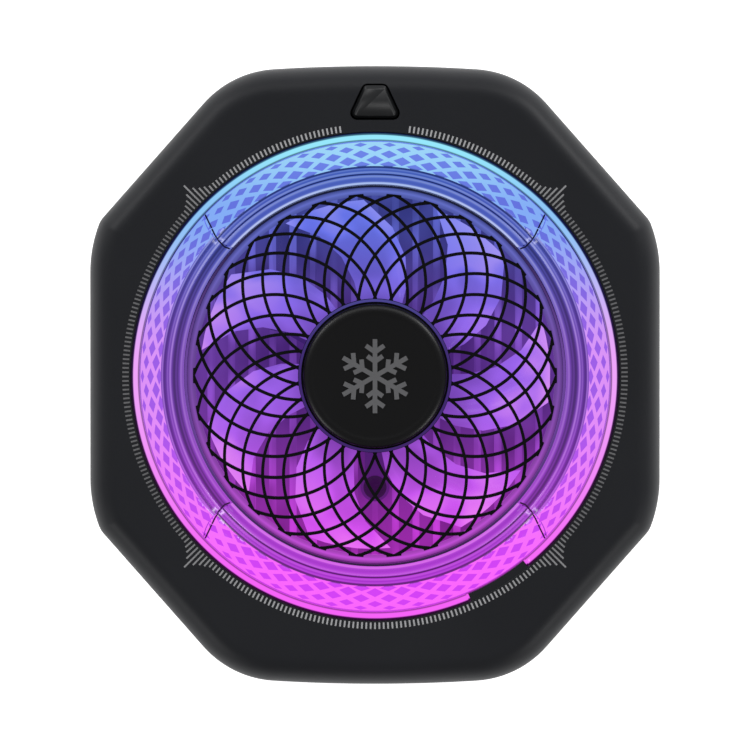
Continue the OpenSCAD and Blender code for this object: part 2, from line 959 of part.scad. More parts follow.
// Tray that surrounds the impeller and carries the LEDs, the lens and the button board
module light_tray() {
    color("#dfe0e4")
        difference() {
            union() {
                translate([0, 0, frame_z + 0.2])
                    cylinder(r = bezel_out_r, h = throat_z - frame_z - 0.2);
                translate([0, 0, tray_z])
                    cylinder(r = collar_r, h = 1);
                for (a = [45:90:315]) {
                    rotate(a)
                        translate([tray_screw_x, 0, tray_z])
                            cylinder(r = 1.7, h = 1);
                }
                translate([-4.2, ring_r - 3, tray_z])
                    cube([8.4, button_y + 1.95 - ring_r + 3, 1]);
            }
            translate([0, 0, frame_z])
                cylinder(r = tray_in_r, h = 20);
            for (a = [45:90:315]) {
                rotate(a)
                    translate([tray_screw_x, 0, tray_z - 1])
                        cylinder(r = screw_r + fit_gap, h = 4);
            }
        }
}

module tray_screws() {
    color("#8e9196")
        for (a = [45:90:315]) {
            rotate(a)
                translate([tray_screw_x, 0, tray_z])
                    screw(4);
        }
}

module led_board() {
    color("#e6e7ea")
        translate([0, 0, tray_top_z])
            tube(lens_out_r - 0.1, lens_in_r + 0.8, board_t);
}

module leds() {
    color("#f7f3e2")
        for (i = [0:led_count - 1]) {
            rotate((i + 0.5) * 360 / led_count)
                translate([led_r - led_w / 2, -led_w / 2, tray_top_z + board_t])
                    cube([led_w, led_w, 0.7]);
        }
}

module light_ring() {
    color("#9fdcff")
        difference() {
            translate([0, 0, tray_top_z])
                tube(bright_out_r, bright_in_r, front_z + 0.1 - tray_top_z);
            translate([0, 0, front_z - key_h - 0.1])
                linear_extrude(key_h + 1)
                    slice(key_from_a - 0.3, key_to_a + 0.3);
        }
}

// Discs whose rims are the four seams between the lens segments
module seam_discs(grow) {
    for (sx = [0, 1]) {
        for (sy = [0, 1]) {
            mirror([sx, 0])
                mirror([0, sy])
                    rotate(seam_a)
                        translate([lattice_in_r, seam_r - seam_bow])
                            circle(seam_r + grow);
        }
    }
}

// Plan of the right segment, and of the top one that fills the rest of its half
module right_zone(grow) {
    difference() {
        slice(-seam_a, seam_a);
        seam_discs(grow);
    }
}

module top_zone() {
    difference() {
        slice(seam_a - 12, 192 - seam_a);
        right_zone(0);
        mirror([1, 0])
            right_zone(0);
    }
}

// Lens of one segment: an arched light guide that steps down toward the fan
module lens(band_r, step_r) {
    rotate_extrude()
        polygon([
            [lens_in_r, tray_top_z],
            [lens_in_r + 0.6, tray_top_z],
            [lens_in_r + 0.6, lens_z - 3.2],
            [lens_out_r - 0.7, lens_z - 3.2],
            [lens_out_r - 0.7, tray_top_z + board_t],
            [lens_out_r, tray_top_z + board_t],
            [lens_out_r, lens_z],
            [band_r, lens_z],
            [band_r - 0.1, lens_z - 0.7],
            [step_r + 0.1, lens_z - 1.1],
            [step_r, lens_z - 1.6],
            [step_r - 0.15, lens_z - 1.6],
            [lens_in_r, lens_z - 2]
        ]);
}

module lens_vertical() {
    intersection() {
        lens(lattice_in_r - 0.1, lattice_in_r - 1.1);
        linear_extrude(40)
            top_zone();
    }
}

module lens_side() {
    intersection() {
        lens(lattice_side_r - 0.1, lattice_side_r - 1.15);
        linear_extrude(40)
            right_zone(seam_gap);
    }
}

module lens_top() {
    color("#7ab8ff")
        lens_vertical();
}

module lens_bottom() {
    color("#f060ff")
        mirror([0, 1, 0])
            lens_vertical();
}

module lens_left() {
    color("#b388ff")
        mirror([1, 0, 0])
            lens_side();
}

module lens_right() {
    color("#b388ff")
        lens_side();
}

// Rows of diamonds [place across the band, width, share of the band, row shift]
diamond_rows = [
    [0.05, 1.84, 0.22, 0.5],
    [0.225, 1.78, 0.31, 0],
    [0.475, 1.7, 0.27, 0.5],
    [0.7, 1.55, 0.21, 0],
    [0.875, 1.4, 0.14, 0.5]
];

module diamonds(in_r) {
    band = lens_out_r - in_r;
    for (row = diamond_rows) {
        dx = row[2] * band / 2;
        dy = row[1] / 2;
        for (i = [0:diamond_count - 1]) {
            rotate(90 + (i + row[3]) * 360 / diamond_count)
                translate([in_r + row[0] * band, 0])
                    polygon([[dx, 0], [0, dy], [-dx, 0], [0, -dy]]);
        }
    }
}

module lattice_band(in_r) {
    difference() {
        circle(lens_out_r - 0.05);
        circle(in_r);
        diamonds(in_r);
    }
}

module lattice() {
    color("#c8f0ff")
        translate([0, 0, lens_z])
            linear_extrude(lattice_t) {
                for (s = [0, 1]) {
                    mirror([0, s])
                        intersection() {
                            lattice_band(lattice_in_r);
                            top_zone();
                        }
                    mirror([s, 0])
                        intersection() {
                            lattice_band(lattice_side_r);
                            right_zone(seam_gap);
                        }
                }
            }
}

module throat_ring() {
    color("#a9b8ff")
        translate([0, 0, throat_z])
            tube(bezel_in_r - 0.05, tip_r - 0.25, grille_z - throat_z);
}

module bezel() {
    color("#101113")
        translate([0, 0, throat_z])
            tube(bezel_out_r, bezel_in_r, 3);
}

// Open cell of the grille on the X axis: inside one pair of circles, outside the next
module grille_cell(near_a, far_a) {
    difference() {
        intersection() {
            rotate(near_a)
                translate([circle_x, 0])
                    circle(circle_r - bar_w / 2);
            rotate(-near_a)
                translate([circle_x, 0])
                    circle(circle_r - bar_w / 2);
            translate([grille_hub_r - 1, -tip_r / 2])
                square(tip_r);
        }
        rotate(far_a)
            translate([circle_x, 0])
                circle(circle_r + bar_w / 2);
        rotate(-far_a)
            translate([circle_x, 0])
                circle(circle_r + bar_w / 2);
        circle(grille_hub_r);
    }
}

// Notch between two tips on the X axis
module grille_notch(near_a) {
    difference() {
        polygon([
            [0.76 * tip_r, 0],
            1.25 * tip_r * [1, -tan(180 / circle_count)],
            1.25 * tip_r * [1, tan(180 / circle_count)]
        ]);
        rotate(near_a)
            translate([circle_x, 0])
                circle(circle_r + bar_w / 2);
        rotate(-near_a)
            translate([circle_x, 0])
                circle(circle_r + bar_w / 2);
    }
}

module grille() {
    step = 360 / circle_count;
    color("#0c0c0e")
        translate([0, 0, grille_z])
            linear_extrude(grille_t)
                difference() {
                    circle(tip_r);
                    for (i = [0:circle_count - 1]) {
                        rotate(i * step) {
                            for (k = [1.5:1:4.5]) {
                                grille_cell(k * step, (k + 1) * step);
                            }
                        }
                        rotate((i + 0.5) * step) {
                            for (k = [2:1:4]) {
                                grille_cell(k * step, (k + 1) * step);
                            }
                            grille_notch(2 * step);
                        }
                    }
                }
}

module hub_cap() {
    color("#141416")
        translate([0, 0, grille_top_z])
            rotate_extrude()
                polygon([
                    [0, 0],
                    [cap_r, 0],
                    [cap_r, cap_h - 0.7],
                    [cap_r - cap_bevel, cap_h],
                    [0, cap_h]
                ]);
}

module hub_trim() {
    color("#a050ff")
        translate([0, 0, grille_top_z])
            tube(grille_hub_r - 0.05, cap_r + 0.25, 0.15);
}

module button_cap() {
    color("#1d1e20") {
        translate([0, 0, button_flange_z])
            linear_extrude(0.7)
                button_face(button_lip);
        translate([0, 0, button_flange_z])
            linear_extrude(button_top_z - 0.4 - button_flange_z)
                button_face(0);
        translate([0, 0, button_top_z - 0.4])
            linear_extrude(0.4)
                button_face(-0.3);
    }
}

module switch_plunger() {
    color("#d8d8da")
        translate([0, button_y, switch_z + 1.2])
            cylinder(r = 0.7, h = button_flange_z - switch_z - 1.2, $fn = 32);
}

module tact_switch() {
    color("#2a2b2d")
        difference() {
            translate([-1.6, button_y - 1.5, switch_z])
                cube([3.2, 3, 1.6]);
            translate([0, button_y, switch_z + 0.6])
                cylinder(r = 0.85, h = 4, $fn = 32);
        }
}

module button_board() {
    color("#16402c")
        translate([-4, collar_r + 0.5, button_board_z])
            cube([8, button_y + 1.75 - collar_r - 0.5, board_t]);
}

front_cover();
rear_cover();
contact_ring();
thermal_film();
cold_plate();
ring_magnets();
shunt_ring();
tec_cold_ceramic();
tec_pellets();
tec_hot_ceramic();
tec_leads();
foam_gasket();
heatsink();
heatsink_screws();
case_screws();
main_board();
usb_socket();
usb_tongue();
controller_chips();
fan_frame();
fan_screws();
bearing();
stator_core();
stator_coils();
fan_board();
impeller();
rotor_yoke();
rotor_magnet();
shaft();
shaft_clip();
light_tray();
tray_screws();
led_board();
leds();
light_ring();
lens_top();
lens_bottom();
lens_left();
lens_right();
lattice();
throat_ring();
bezel();
grille();
hub_cap();
hub_trim();
button_cap();
switch_plunger();
tact_switch();
button_board();
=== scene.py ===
# %% [markdown]
# # Phone cooling fan
# A magnetic cooler for a phone lies on its back and looks straight up at the camera.
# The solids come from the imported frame. The front cover and the hub cap are made again
# here with finer steps, because their soft edges catch the light, and every other solid
# is copied, shaded smooth and given a finish.

import math

import bmesh
import bpy
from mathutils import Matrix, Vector


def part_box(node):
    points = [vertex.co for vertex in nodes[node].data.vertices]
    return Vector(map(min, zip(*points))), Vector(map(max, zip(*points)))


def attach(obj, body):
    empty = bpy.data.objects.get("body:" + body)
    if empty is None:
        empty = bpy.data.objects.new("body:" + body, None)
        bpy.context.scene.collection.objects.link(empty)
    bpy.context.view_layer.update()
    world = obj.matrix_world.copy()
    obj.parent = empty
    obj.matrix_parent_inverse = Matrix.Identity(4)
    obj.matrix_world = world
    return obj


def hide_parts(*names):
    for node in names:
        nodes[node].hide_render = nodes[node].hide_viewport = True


MM = 0.001
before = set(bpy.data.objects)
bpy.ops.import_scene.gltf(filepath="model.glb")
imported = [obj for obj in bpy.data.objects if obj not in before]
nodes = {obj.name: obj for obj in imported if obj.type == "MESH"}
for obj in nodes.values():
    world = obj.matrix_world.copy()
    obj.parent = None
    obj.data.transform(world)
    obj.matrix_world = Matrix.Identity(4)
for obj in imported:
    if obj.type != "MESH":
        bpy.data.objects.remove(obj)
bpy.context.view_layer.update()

# %% [markdown]
# ## Glow
# The ring and the fan are lit by coloured LEDs: pale blue at the button, deeper blue at
# the shoulders, violet in the middle and magenta at the foot. The colours could be traced
# from lamps through the lenses, but that is slow and grainy. One group turns the height on
# the face into a colour instead, so every lit piece only brings its own four colours.


# %% Colour and node helpers
def linear(r, g, b):
    """Turns screen values of 0 to 255 into the linear colour that Blender works in."""
    def channel(v):
        v = v / 255
        return v / 12.92 if v <= 0.04045 else ((v + 0.055) / 1.055) ** 2.4
    return (channel(r), channel(g), channel(b), 1.0)


BLACK = (0, 0, 0, 1)
WHITE = (1, 1, 1, 1)


def new_group(name, inputs, outputs):
    group = bpy.data.node_groups.new(name, "ShaderNodeTree")
    for label, kind, value in inputs:
        socket = group.interface.new_socket(label, in_out="INPUT", socket_type=kind)
        socket.default_value = value
    for label, kind in outputs:
        group.interface.new_socket(label, in_out="OUTPUT", socket_type=kind)
    return group, group.nodes.new("NodeGroupInput"), group.nodes.new("NodeGroupOutput")


def feed(tree, socket, value):
    """Links a socket to another socket, or sets it to a plain value."""
    if isinstance(value, bpy.types.NodeSocket):
        tree.links.new(value, socket)
    else:
        socket.default_value = value


def math_node(tree, operation, *values):
    node = tree.nodes.new("ShaderNodeMath")
    node.operation = operation
    for socket, value in zip(node.inputs, values):
        feed(tree, socket, value)
    return node.outputs[0]


def mix_node(tree, factor, a, b):
    node = tree.nodes.new("ShaderNodeMix")
    node.data_type = "RGBA"
    colour_a, colour_b = [s for s in node.inputs if s.type == "RGBA"]
    feed(tree, node.inputs["Factor"], factor)
    feed(tree, colour_a, a)
    feed(tree, colour_b, b)
    return [s for s in node.outputs if s.type == "RGBA"][0]


def range_node(tree, value, start, end, to_start=0.0, to_end=1.0, kind="SMOOTHSTEP"):
    node = tree.nodes.new("ShaderNodeMapRange")
    node.interpolation_type = kind
    feed(tree, node.inputs["Value"], value)
    feed(tree, node.inputs["From Min"], start)
    feed(tree, node.inputs["From Max"], end)
    feed(tree, node.inputs["To Min"], to_start)
    feed(tree, node.inputs["To Max"], to_end)
    return node.outputs["Result"]


def axes_of(tree, vector):
    split = tree.nodes.new("ShaderNodeSeparateXYZ")
    tree.links.new(vector, split.inputs[0])
    return split.outputs


# %% Glow group
RING_R = 28.1 * MM
# Stretches of height, in ring radii, over which the colour below turns into the named one
GLOW_STRETCHES = (("Middle", -0.9, 0.05), ("Shoulder", 0.0, 0.68), ("Top", 0.66, 0.98))
glow, glow_in, glow_out = new_group(
    "Ring glow",
    [
        ("Top", "NodeSocketColor", (0, 0.5, 1, 1)),
        ("Shoulder", "NodeSocketColor", (0.1, 0.2, 1, 1)),
        ("Middle", "NodeSocketColor", (0.5, 0, 1, 1)),
        ("Foot", "NodeSocketColor", (1, 0, 1, 1)),
    ],
    [("Colour", "NodeSocketColor"), ("Radius", "NodeSocketFloat"), ("Facing", "NodeSocketFloat")],
)
surface = glow.nodes.new("ShaderNodeNewGeometry")
place = axes_of(glow, surface.outputs["Position"])
colour = glow_in.outputs["Foot"]
for label, start, end in GLOW_STRETCHES:
    share = range_node(glow, place["Y"], start * RING_R, end * RING_R)
    colour = mix_node(glow, share, colour, glow_in.outputs[label])
square_x = math_node(glow, "MULTIPLY", place["X"], place["X"])
square_y = math_node(glow, "MULTIPLY", place["Y"], place["Y"])
radius = math_node(glow, "SQRT", math_node(glow, "ADD", square_x, square_y))
# Facing is the upward part of the normal; the lit finishes turn it into painted shade on faces that turn from
# the front.
tilt = axes_of(glow, surface.outputs["Normal"])
glow.links.new(colour, glow_out.inputs["Colour"])
glow.links.new(math_node(glow, "DIVIDE", radius, MM), glow_out.inputs["Radius"])
glow.links.new(tilt["Z"], glow_out.inputs["Facing"])
print("group", glow.name)

# %% [markdown]
# ## Streaks
# Light that has passed the spinning blades lies unevenly on them and on the fins below.
# A soft noise, squeezed into a range of levels, stands for that in both finishes.

# %% Streak group
streaks, streaks_in, streaks_out = new_group(
    "Light streaks",
    [("Scale", "NodeSocketFloat", 150.0), ("Low", "NodeSocketFloat", 0.5)],
    [("Level", "NodeSocketFloat")],
)
STREAK_HIGH = 1.1
spot = streaks.nodes.new("ShaderNodeTexCoord")
cloud = streaks.nodes.new("ShaderNodeTexNoise")
cloud.inputs["Detail"].default_value = 1
streaks.links.new(spot.outputs["Object"], cloud.inputs["Vector"])
streaks.links.new(streaks_in.outputs["Scale"], cloud.inputs["Scale"])
streak_level = range_node(streaks, cloud.outputs["Fac"], 0.36, 0.62, streaks_in.outputs["Low"], STREAK_HIGH)
streaks.links.new(streak_level, streaks_out.inputs["Level"])
print("group", streaks.name)

# %% [markdown]
# ## Grain
# Moulded plastic and rolled metal are never quite even. This group gives a fine grain for
# the bump and a slow drift of colour and roughness, and each finish takes its own scale.

# %% Grain group
DRIFT_SCALE = 60
grain, grain_in, grain_out = new_group(
    "Moulded grain",
    [
        ("Scale", "NodeSocketFloat", 2500.0),
        ("Rough low", "NodeSocketFloat", 0.4),
        ("Rough high", "NodeSocketFloat", 0.5),
        ("Dark", "NodeSocketColor", (0.01, 0.01, 0.01, 1)),
        ("Light", "NodeSocketColor", (0.02, 0.02, 0.02, 1)),
    ],
    [("Colour", "NodeSocketColor"), ("Roughness", "NodeSocketFloat"), ("Height", "NodeSocketFloat")],
)
spot = grain.nodes.new("ShaderNodeTexCoord")
fine = grain.nodes.new("ShaderNodeTexNoise")
fine.inputs["Detail"].default_value = 3
grain.links.new(spot.outputs["Object"], fine.inputs["Vector"])
grain.links.new(grain_in.outputs["Scale"], fine.inputs["Scale"])
broad = grain.nodes.new("ShaderNodeTexNoise")
broad.inputs["Scale"].default_value = DRIFT_SCALE
grain.links.new(spot.outputs["Object"], broad.inputs["Vector"])
spread = math_node(grain, "SUBTRACT", grain_in.outputs["Rough high"], grain_in.outputs["Rough low"])
drift = math_node(grain, "MULTIPLY", spread, broad.outputs["Fac"])
roughness = math_node(grain, "ADD", drift, grain_in.outputs["Rough low"])
paint = mix_node(grain, broad.outputs["Fac"], grain_in.outputs["Dark"], grain_in.outputs["Light"])
grain.links.new(paint, grain_out.inputs["Colour"])
grain.links.new(roughness, grain_out.inputs["Roughness"])
grain.links.new(fine.outputs["Fac"], grain_out.inputs["Height"])
print("group", grain.name)

# %% [markdown]
# ## Finishes
# A plain finish is a Principled shader with the grain group. A lit finish takes the glow
# group: most of what the camera sees of it is emitted, so its own paint is dark.

# %% Plain finish
BUMP_DEPTH = 0.04 * MM


def shader_of(name):
    material = bpy.data.materials.new(name)
    material.use_nodes = True
    return material, material.node_tree, material.node_tree.nodes["Principled BSDF"]


def group_node(tree, group):
    node = tree.nodes.new("ShaderNodeGroup")
    node.node_tree = group
    return node


def plain_finish(name, dark, light, rough, scale=900.0, bump=0.0, metallic=0.0, specular=0.5):
    material, tree, shader = shader_of(name)
    group = group_node(tree, grain)
    group.inputs["Scale"].default_value = scale
    group.inputs["Rough low"].default_value = rough[0]
    group.inputs["Rough high"].default_value = rough[1]
    group.inputs["Dark"].default_value = linear(*dark)
    group.inputs["Light"].default_value = linear(*light)
    tree.links.new(group.outputs["Colour"], shader.inputs["Base Color"])
    tree.links.new(group.outputs["Roughness"], shader.inputs["Roughness"])
    shader.inputs["Metallic"].default_value = metallic
    shader.inputs["Specular IOR Level"].default_value = specular
    if bump:
        ridge = tree.nodes.new("ShaderNodeBump")
        ridge.inputs["Strength"].default_value = bump
        ridge.inputs["Distance"].default_value = BUMP_DEPTH
        tree.links.new(group.outputs["Height"], ridge.inputs["Height"])
        tree.links.new(ridge.outputs["Normal"], shader.inputs["Normal"])
    return material


# %% Lit finish
GLOW_STRENGTH = 0.96
OWN_PAINT = 0.04
RIM_BLUR = 0.06
FLAT_FROM = 0.2


def level_curve(tree, value, stops):
    """Follows (radius in mm, level) stops with straight runs between them."""
    start, end = stops[0][0], stops[-1][0]
    ramp = tree.nodes.new("ShaderNodeFloatCurve")
    curve = ramp.mapping.curves[0]
    for i, (r, amount) in enumerate(stops):
        x = (r - start) / (end - start)
        if 0 < i < len(stops) - 1:
            point = curve.points.new(x, amount)
        else:
            point = curve.points[0 if i == 0 else -1]
            point.location = (x, amount)
        point.handle_type = "VECTOR"
    ramp.mapping.update()
    tree.links.new(range_node(tree, value, start, end, kind="LINEAR"), ramp.inputs["Value"])
    return ramp.outputs["Value"]


def tone_node(tree, colours):
    """Glow group with colours for the top, the shoulder, the middle and the foot."""
    group = group_node(tree, glow)
    for label, value in zip(("Top", "Shoulder", "Middle", "Foot"), colours):
        group.inputs[label].default_value = linear(*value)
    return group


def lit_finish(name, tones, stops=None, facing=(1.0, 1.0), depth=None, streak=None, rim=None, coat=0.2):
    """Tones run from dark to light, as painted shade and painted light. The level that picks between them
    comes from the radius by stops, the slope by facing and the height by depth, both painted shade, and a
    noise by streak; rim tones the outer band."""
    material, tree, shader = shader_of(name)
    groups = [tone_node(tree, colours) for colours in tones]
    place = groups[0].outputs
    # Painted shade: faces that turn away from the front get a lower level and a darker tone.
    level = range_node(tree, place["Facing"], FLAT_FROM, 1.0, *facing, kind="LINEAR")
    if stops:
        level = math_node(tree, "MULTIPLY", level, level_curve(tree, place["Radius"], stops))
    # Painted shade: lower, deeper points get a lower level and a darker tone.
    if depth:
        start, end, low_level, high_level = depth
        surface = tree.nodes.new("ShaderNodeNewGeometry")
        height = axes_of(tree, surface.outputs["Position"])["Z"]
        fade = range_node(tree, height, start * MM, end * MM, low_level, high_level)
        level = math_node(tree, "MULTIPLY", level, fade)
    if streak:
        cloud = group_node(tree, streaks)
        cloud.inputs["Scale"].default_value, cloud.inputs["Low"].default_value = streak
        level = math_node(tree, "MULTIPLY", level, cloud.outputs["Level"])
    colour = BLACK if len(groups) == 1 else groups[0].outputs["Colour"]
    lighter = groups if len(groups) == 1 else groups[1:]
    for i, group in enumerate(lighter):
        share = range_node(tree, level, i / len(lighter), (i + 1) / len(lighter), kind="LINEAR")
        colour = mix_node(tree, share, colour, group.outputs["Colour"])
    if rim:
        rim_r, rim_colours = rim
        band = range_node(tree, place["Radius"], rim_r - RIM_BLUR, rim_r + RIM_BLUR)
        colour = mix_node(tree, band, colour, tone_node(tree, rim_colours).outputs["Colour"])
    tree.links.new(colour, shader.inputs["Emission Color"])
    tree.links.new(mix_node(tree, OWN_PAINT, BLACK, colour), shader.inputs["Base Color"])
    shader.inputs["Emission Strength"].default_value = GLOW_STRENGTH
    shader.inputs["Specular IOR Level"].default_value = 0.25
    shader.inputs["Roughness"].default_value = 0.3
    shader.inputs["Coat Weight"].default_value = coat
    shader.inputs["Coat Roughness"].default_value = 0.12
    return material


# %% Black finishes
shell_black = plain_finish(
    "Housing black", (27, 28, 31), (32, 33, 36), (0.44, 0.52), 3200.0, 0.2, specular=0.13)
rear_black = plain_finish(
    "Rear cover black", (26, 27, 29), (31, 32, 34), (0.5, 0.6), 3200.0, 0.3, specular=0.35)
button_black = plain_finish(
    "Button black", (24, 25, 27), (29, 30, 32), (0.44, 0.5), 3200.0, 0.15, specular=0.35)
grille_black = plain_finish("Grille black", (4, 4, 7), (7, 7, 10), (0.4, 0.5), 1800.0, specular=0.12)
cap_black = plain_finish("Cap black", (11, 11, 12), (14, 14, 15), (0.34, 0.42), 2600.0, 0.1, specular=0.2)
soft_black = plain_finish("Soft ring", (38, 39, 41), (46, 47, 49), (0.7, 0.82), 1500.0, 0.4)
dark_plastic = plain_finish("Dark plastic", (14, 13, 20), (20, 18, 27), (0.4, 0.5), 1500.0, specular=0.3)
foam_black = plain_finish("Foam", (44, 44, 46), (58, 58, 60), (0.85, 0.95), 1200.0, 0.6)
print("black finishes made")


# %% Metal, board and other finishes
def metal_finish(name, dark, light, rough):
    return plain_finish(name, dark, light, rough, metallic=1.0)


bare_metal = metal_finish("Bare aluminium", (196, 199, 204), (212, 215, 219), (0.28, 0.42))
steel = metal_finish("Steel", (150, 152, 156), (172, 174, 178), (0.25, 0.4))
dark_steel = metal_finish("Dark steel", (42, 43, 46), (54, 55, 58), (0.35, 0.45))
socket_steel = metal_finish("Socket steel", (188, 190, 194), (206, 208, 211), (0.16, 0.26))
bronze = metal_finish("Bearing bronze", (176, 138, 74), (192, 154, 88), (0.3, 0.42))
copper = metal_finish("Winding copper", (176, 96, 40), (196, 112, 52), (0.3, 0.42))
film_grey = plain_finish("Thermal film", (112, 115, 119), (126, 129, 133), (0.45, 0.6), 400.0)
white_plastic = plain_finish("White plastic", (208, 210, 216), (222, 224, 229), (0.5, 0.6))
grey_plastic = plain_finish("Grey plastic", (150, 150, 152), (164, 164, 166), (0.5, 0.6))
ferrite = plain_finish("Ferrite", (62, 64, 67), (74, 76, 79), (0.6, 0.7))
crystal_grey = plain_finish("Crystal grey", (80, 80, 82), (92, 92, 94), (0.4, 0.5))
board_green = plain_finish("Solder mask", (14, 56, 38), (20, 68, 46), (0.35, 0.5), 700.0)
ceramic_white = plain_finish("Ceramic", (232, 232, 228), (244, 244, 240), (0.55, 0.65), 700.0)
pellet_grey = plain_finish("Pellet", (120, 122, 126), (136, 138, 142), (0.5, 0.6), 700.0)
wire_red = plain_finish("Lead insulation", (140, 28, 28), (158, 36, 36), (0.4, 0.5), 700.0)
print("other finishes made")

# %% [markdown]
# ## Lit finishes
# The lens is a dish with fine turned grooves. Each groove is a dip in a curve of level
# over radius, painted shade with painted highlight lines beside it, which is sharper than a bump
# would be at this size. The side segments have other grooves than the upper and lower ones.

# %% Ring and lens finishes
# Dark, body and light tones: painted shade, the plain glow and painted highlight of the lit lens and throat.
painted_shade_tone = ((12, 30, 80), (12, 24, 84), (56, 30, 92), (70, 18, 80))
body_tone = ((70, 104, 194), (74, 92, 190), (112, 64, 172), (176, 54, 212))
painted_highlight_tone = ((158, 194, 246), (188, 202, 247), (200, 148, 244), (224, 110, 240))
diamond_tone = ((108, 132, 232), (98, 112, 222), (158, 92, 232), (212, 62, 246))
line_tone = ((158, 216, 250), (130, 172, 246), (222, 146, 248), (252, 100, 253))
ring_tones = [
    ((16, 60, 90), (18, 55, 105), (70, 30, 95), (110, 30, 120)),
    ((150, 232, 252), (140, 196, 247), (240, 162, 250), (247, 96, 248))]
ring_stops = [(27.3, 0.25), (27.44, 0.25), (27.54, 1.0), (27.98, 1.0), (28.06, 0.2), (28.12, 0.05)]
lens_stops = [
    (22.15, 0.1), (22.24, 0.9), (22.42, 1.0), (22.55, 0.55), (22.75, 0.45), (22.95, 0.5),
    (23.18, 0.68), (23.32, 0.5), (23.38, 0.05), (23.48, 0.05), (23.56, 0.6), (23.72, 0.66),
    (23.86, 0.42), (24.1, 0.62), (24.22, 0.1), (24.36, 0.1), (24.44, 0.5), (24.6, 0.7)]
side_stops = [
    (21.9, 0.5), (22.0, 1.0), (22.12, 0.75), (22.3, 0.55), (22.55, 0.7), (22.75, 0.45),
    (22.95, 0.16), (23.1, 0.34), (23.28, 0.08), (23.45, 0.16), (23.62, 0.45), (23.78, 0.8),
    (23.95, 0.5), (24.12, 0.62), (24.3, 0.3), (24.5, 0.2), (24.66, 0.75), (24.8, 0.5)]
bright_lit = lit_finish("Bright ring", ring_tones, ring_stops)
line_lit = lit_finish("Lattice lines", [line_tone])
lens_lit = lit_finish("Lens", [painted_shade_tone, body_tone, painted_highlight_tone], lens_stops, rim=(24.5, diamond_tone))
side_lit = lit_finish("Side lens", [painted_shade_tone, body_tone, painted_highlight_tone], side_stops, rim=(24.82, diamond_tone))
diamond_lit = lit_finish("Diamonds", [diamond_tone])
# The seam finish is painted shade: dark strips stand for the shade in the gaps between lens segments.
seam_shade = lit_finish("Seam", [((8, 16, 44), (10, 12, 44), (34, 14, 52), (58, 12, 66))], coat=0.0)

# %% Fan and inner finishes
throat_tone = ((100, 127, 212), (98, 108, 200), (120, 76, 168), (204, 78, 224))
throat_stops = [(20.8, 0.5), (21.2, 0.75), (21.4, 1.0), (21.6, 0.7), (21.8, 0.4), (21.95, 0.3)]
# Blade and fin tones run from painted shade to painted light; the radius stops, the slope and, for the fins,
# the height pick which one shows.
blade_shade_to_light_tones = [
    ((50, 64, 146), (54, 58, 140), (82, 44, 136), (134, 36, 148)),
    ((92, 132, 234), (104, 118, 236), (158, 102, 240), (228, 78, 246)),
    ((120, 164, 244), (150, 150, 246), (226, 150, 250), (246, 118, 250))]
blade_stops = [(7.5, 0.2), (10.0, 0.42), (15.0, 0.66), (19.0, 0.86), (20.5, 1.0)]
fin_shade_to_light_tones = [
    ((34, 42, 104), (36, 36, 100), (62, 28, 104), (104, 22, 116)),
    ((96, 130, 224), (102, 112, 220), (152, 90, 222), (226, 64, 238))]
fin_stops = [(5.0, 0.3), (12.0, 0.6), (21.0, 1.0), (26.0, 0.3)]
throat_lit = lit_finish("Throat", [painted_shade_tone, throat_tone], throat_stops)
blade_lit = lit_finish("Blades", blade_shade_to_light_tones, blade_stops, facing=(0.4, 0.92), streak=(170.0, 0.62))
fin_lit = lit_finish(
    "Lit fins", fin_shade_to_light_tones, fin_stops, facing=(0.5, 1.0), depth=(6.5, 15.4, 0.3, 1.0),
    streak=(140.0, 0.45), coat=0.0)
# The hub trim, bezel, fan screws, fan frame and tray are no lamps: their glow is painted light of the LEDs
# falling on them.
trim_lit = lit_finish("Hub trim", [((76, 88, 170), (84, 90, 174), (58, 34, 108), (64, 20, 90))])
bezel_lit = lit_finish("Bezel", [((7, 17, 48), (8, 15, 50), (104, 66, 152), (42, 10, 58))])
screw_lit = lit_finish("Fan screws", [((18, 20, 58), (20, 18, 58), (34, 14, 58), (62, 14, 72))], coat=0.0)
frame_lit = lit_finish("Fan frame", [((34, 40, 104), (36, 36, 102), (60, 28, 106), (104, 26, 122))], coat=0.0)
tray_lit = lit_finish("Lit tray", [((20, 26, 70), (20, 22, 70), (34, 16, 66), (52, 12, 60))], coat=0.0)
led_lit = lit_finish("LED", [((180, 220, 255), (190, 200, 255), (225, 200, 255), (255, 190, 255))], coat=0.0)
print("lit finishes made")

# %% [markdown]
# ## Solids with a finish
# Each solid is copied once so that its flat facets can be shaded smooth up to an edge
# angle. The copy stands for the solid and rides on the same body, so the fan still turns
# and the button still moves.

# %% Pieces
BODY_OF = {"button_cap": "button", "switch_plunger": "button"}
for name in ("impeller", "rotor_yoke", "rotor_magnet", "shaft", "shaft_clip"):
    BODY_OF[name] = "rotor"
SMOOTH_BELOW = 32
SAME_POINT = 1e-7


def new_object(name, data):
    obj = bpy.data.objects.new(name, data)
    bpy.context.collection.objects.link(obj)
    return obj


def object_from(work, name, closed=True):
    """Turns a bmesh into an object. A closed form gets its faces turned outward."""
    if closed:
        bmesh.ops.recalc_face_normals(work, faces=work.faces)
    mesh = bpy.data.meshes.new(name)
    work.to_mesh(mesh)
    work.free()
    return new_object(name, mesh)


def dress(obj, material, node=None):
    """Finishes a piece, seats it on its body and hides the solid that it stands for, if any."""
    obj.data.materials.clear()
    obj.data.materials.append(material)
    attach(obj, BODY_OF.get(node, "housing"))
    if node:
        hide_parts(node)


def smooth(mesh, angle):
    mesh.shade_smooth()
    mesh.set_sharp_from_angle(angle=math.radians(angle))


def smooth_copy(node, material):
    source = nodes[node]
    obj = new_object(node + "_piece", source.data.copy())
    obj.matrix_world = source.matrix_world.copy()
    work = bmesh.new()
    work.from_mesh(obj.data)
    bmesh.ops.remove_doubles(work, verts=work.verts, dist=SAME_POINT)
    work.to_mesh(obj.data)
    work.free()
    smooth(obj.data, SMOOTH_BELOW)
    dress(obj, material, node)


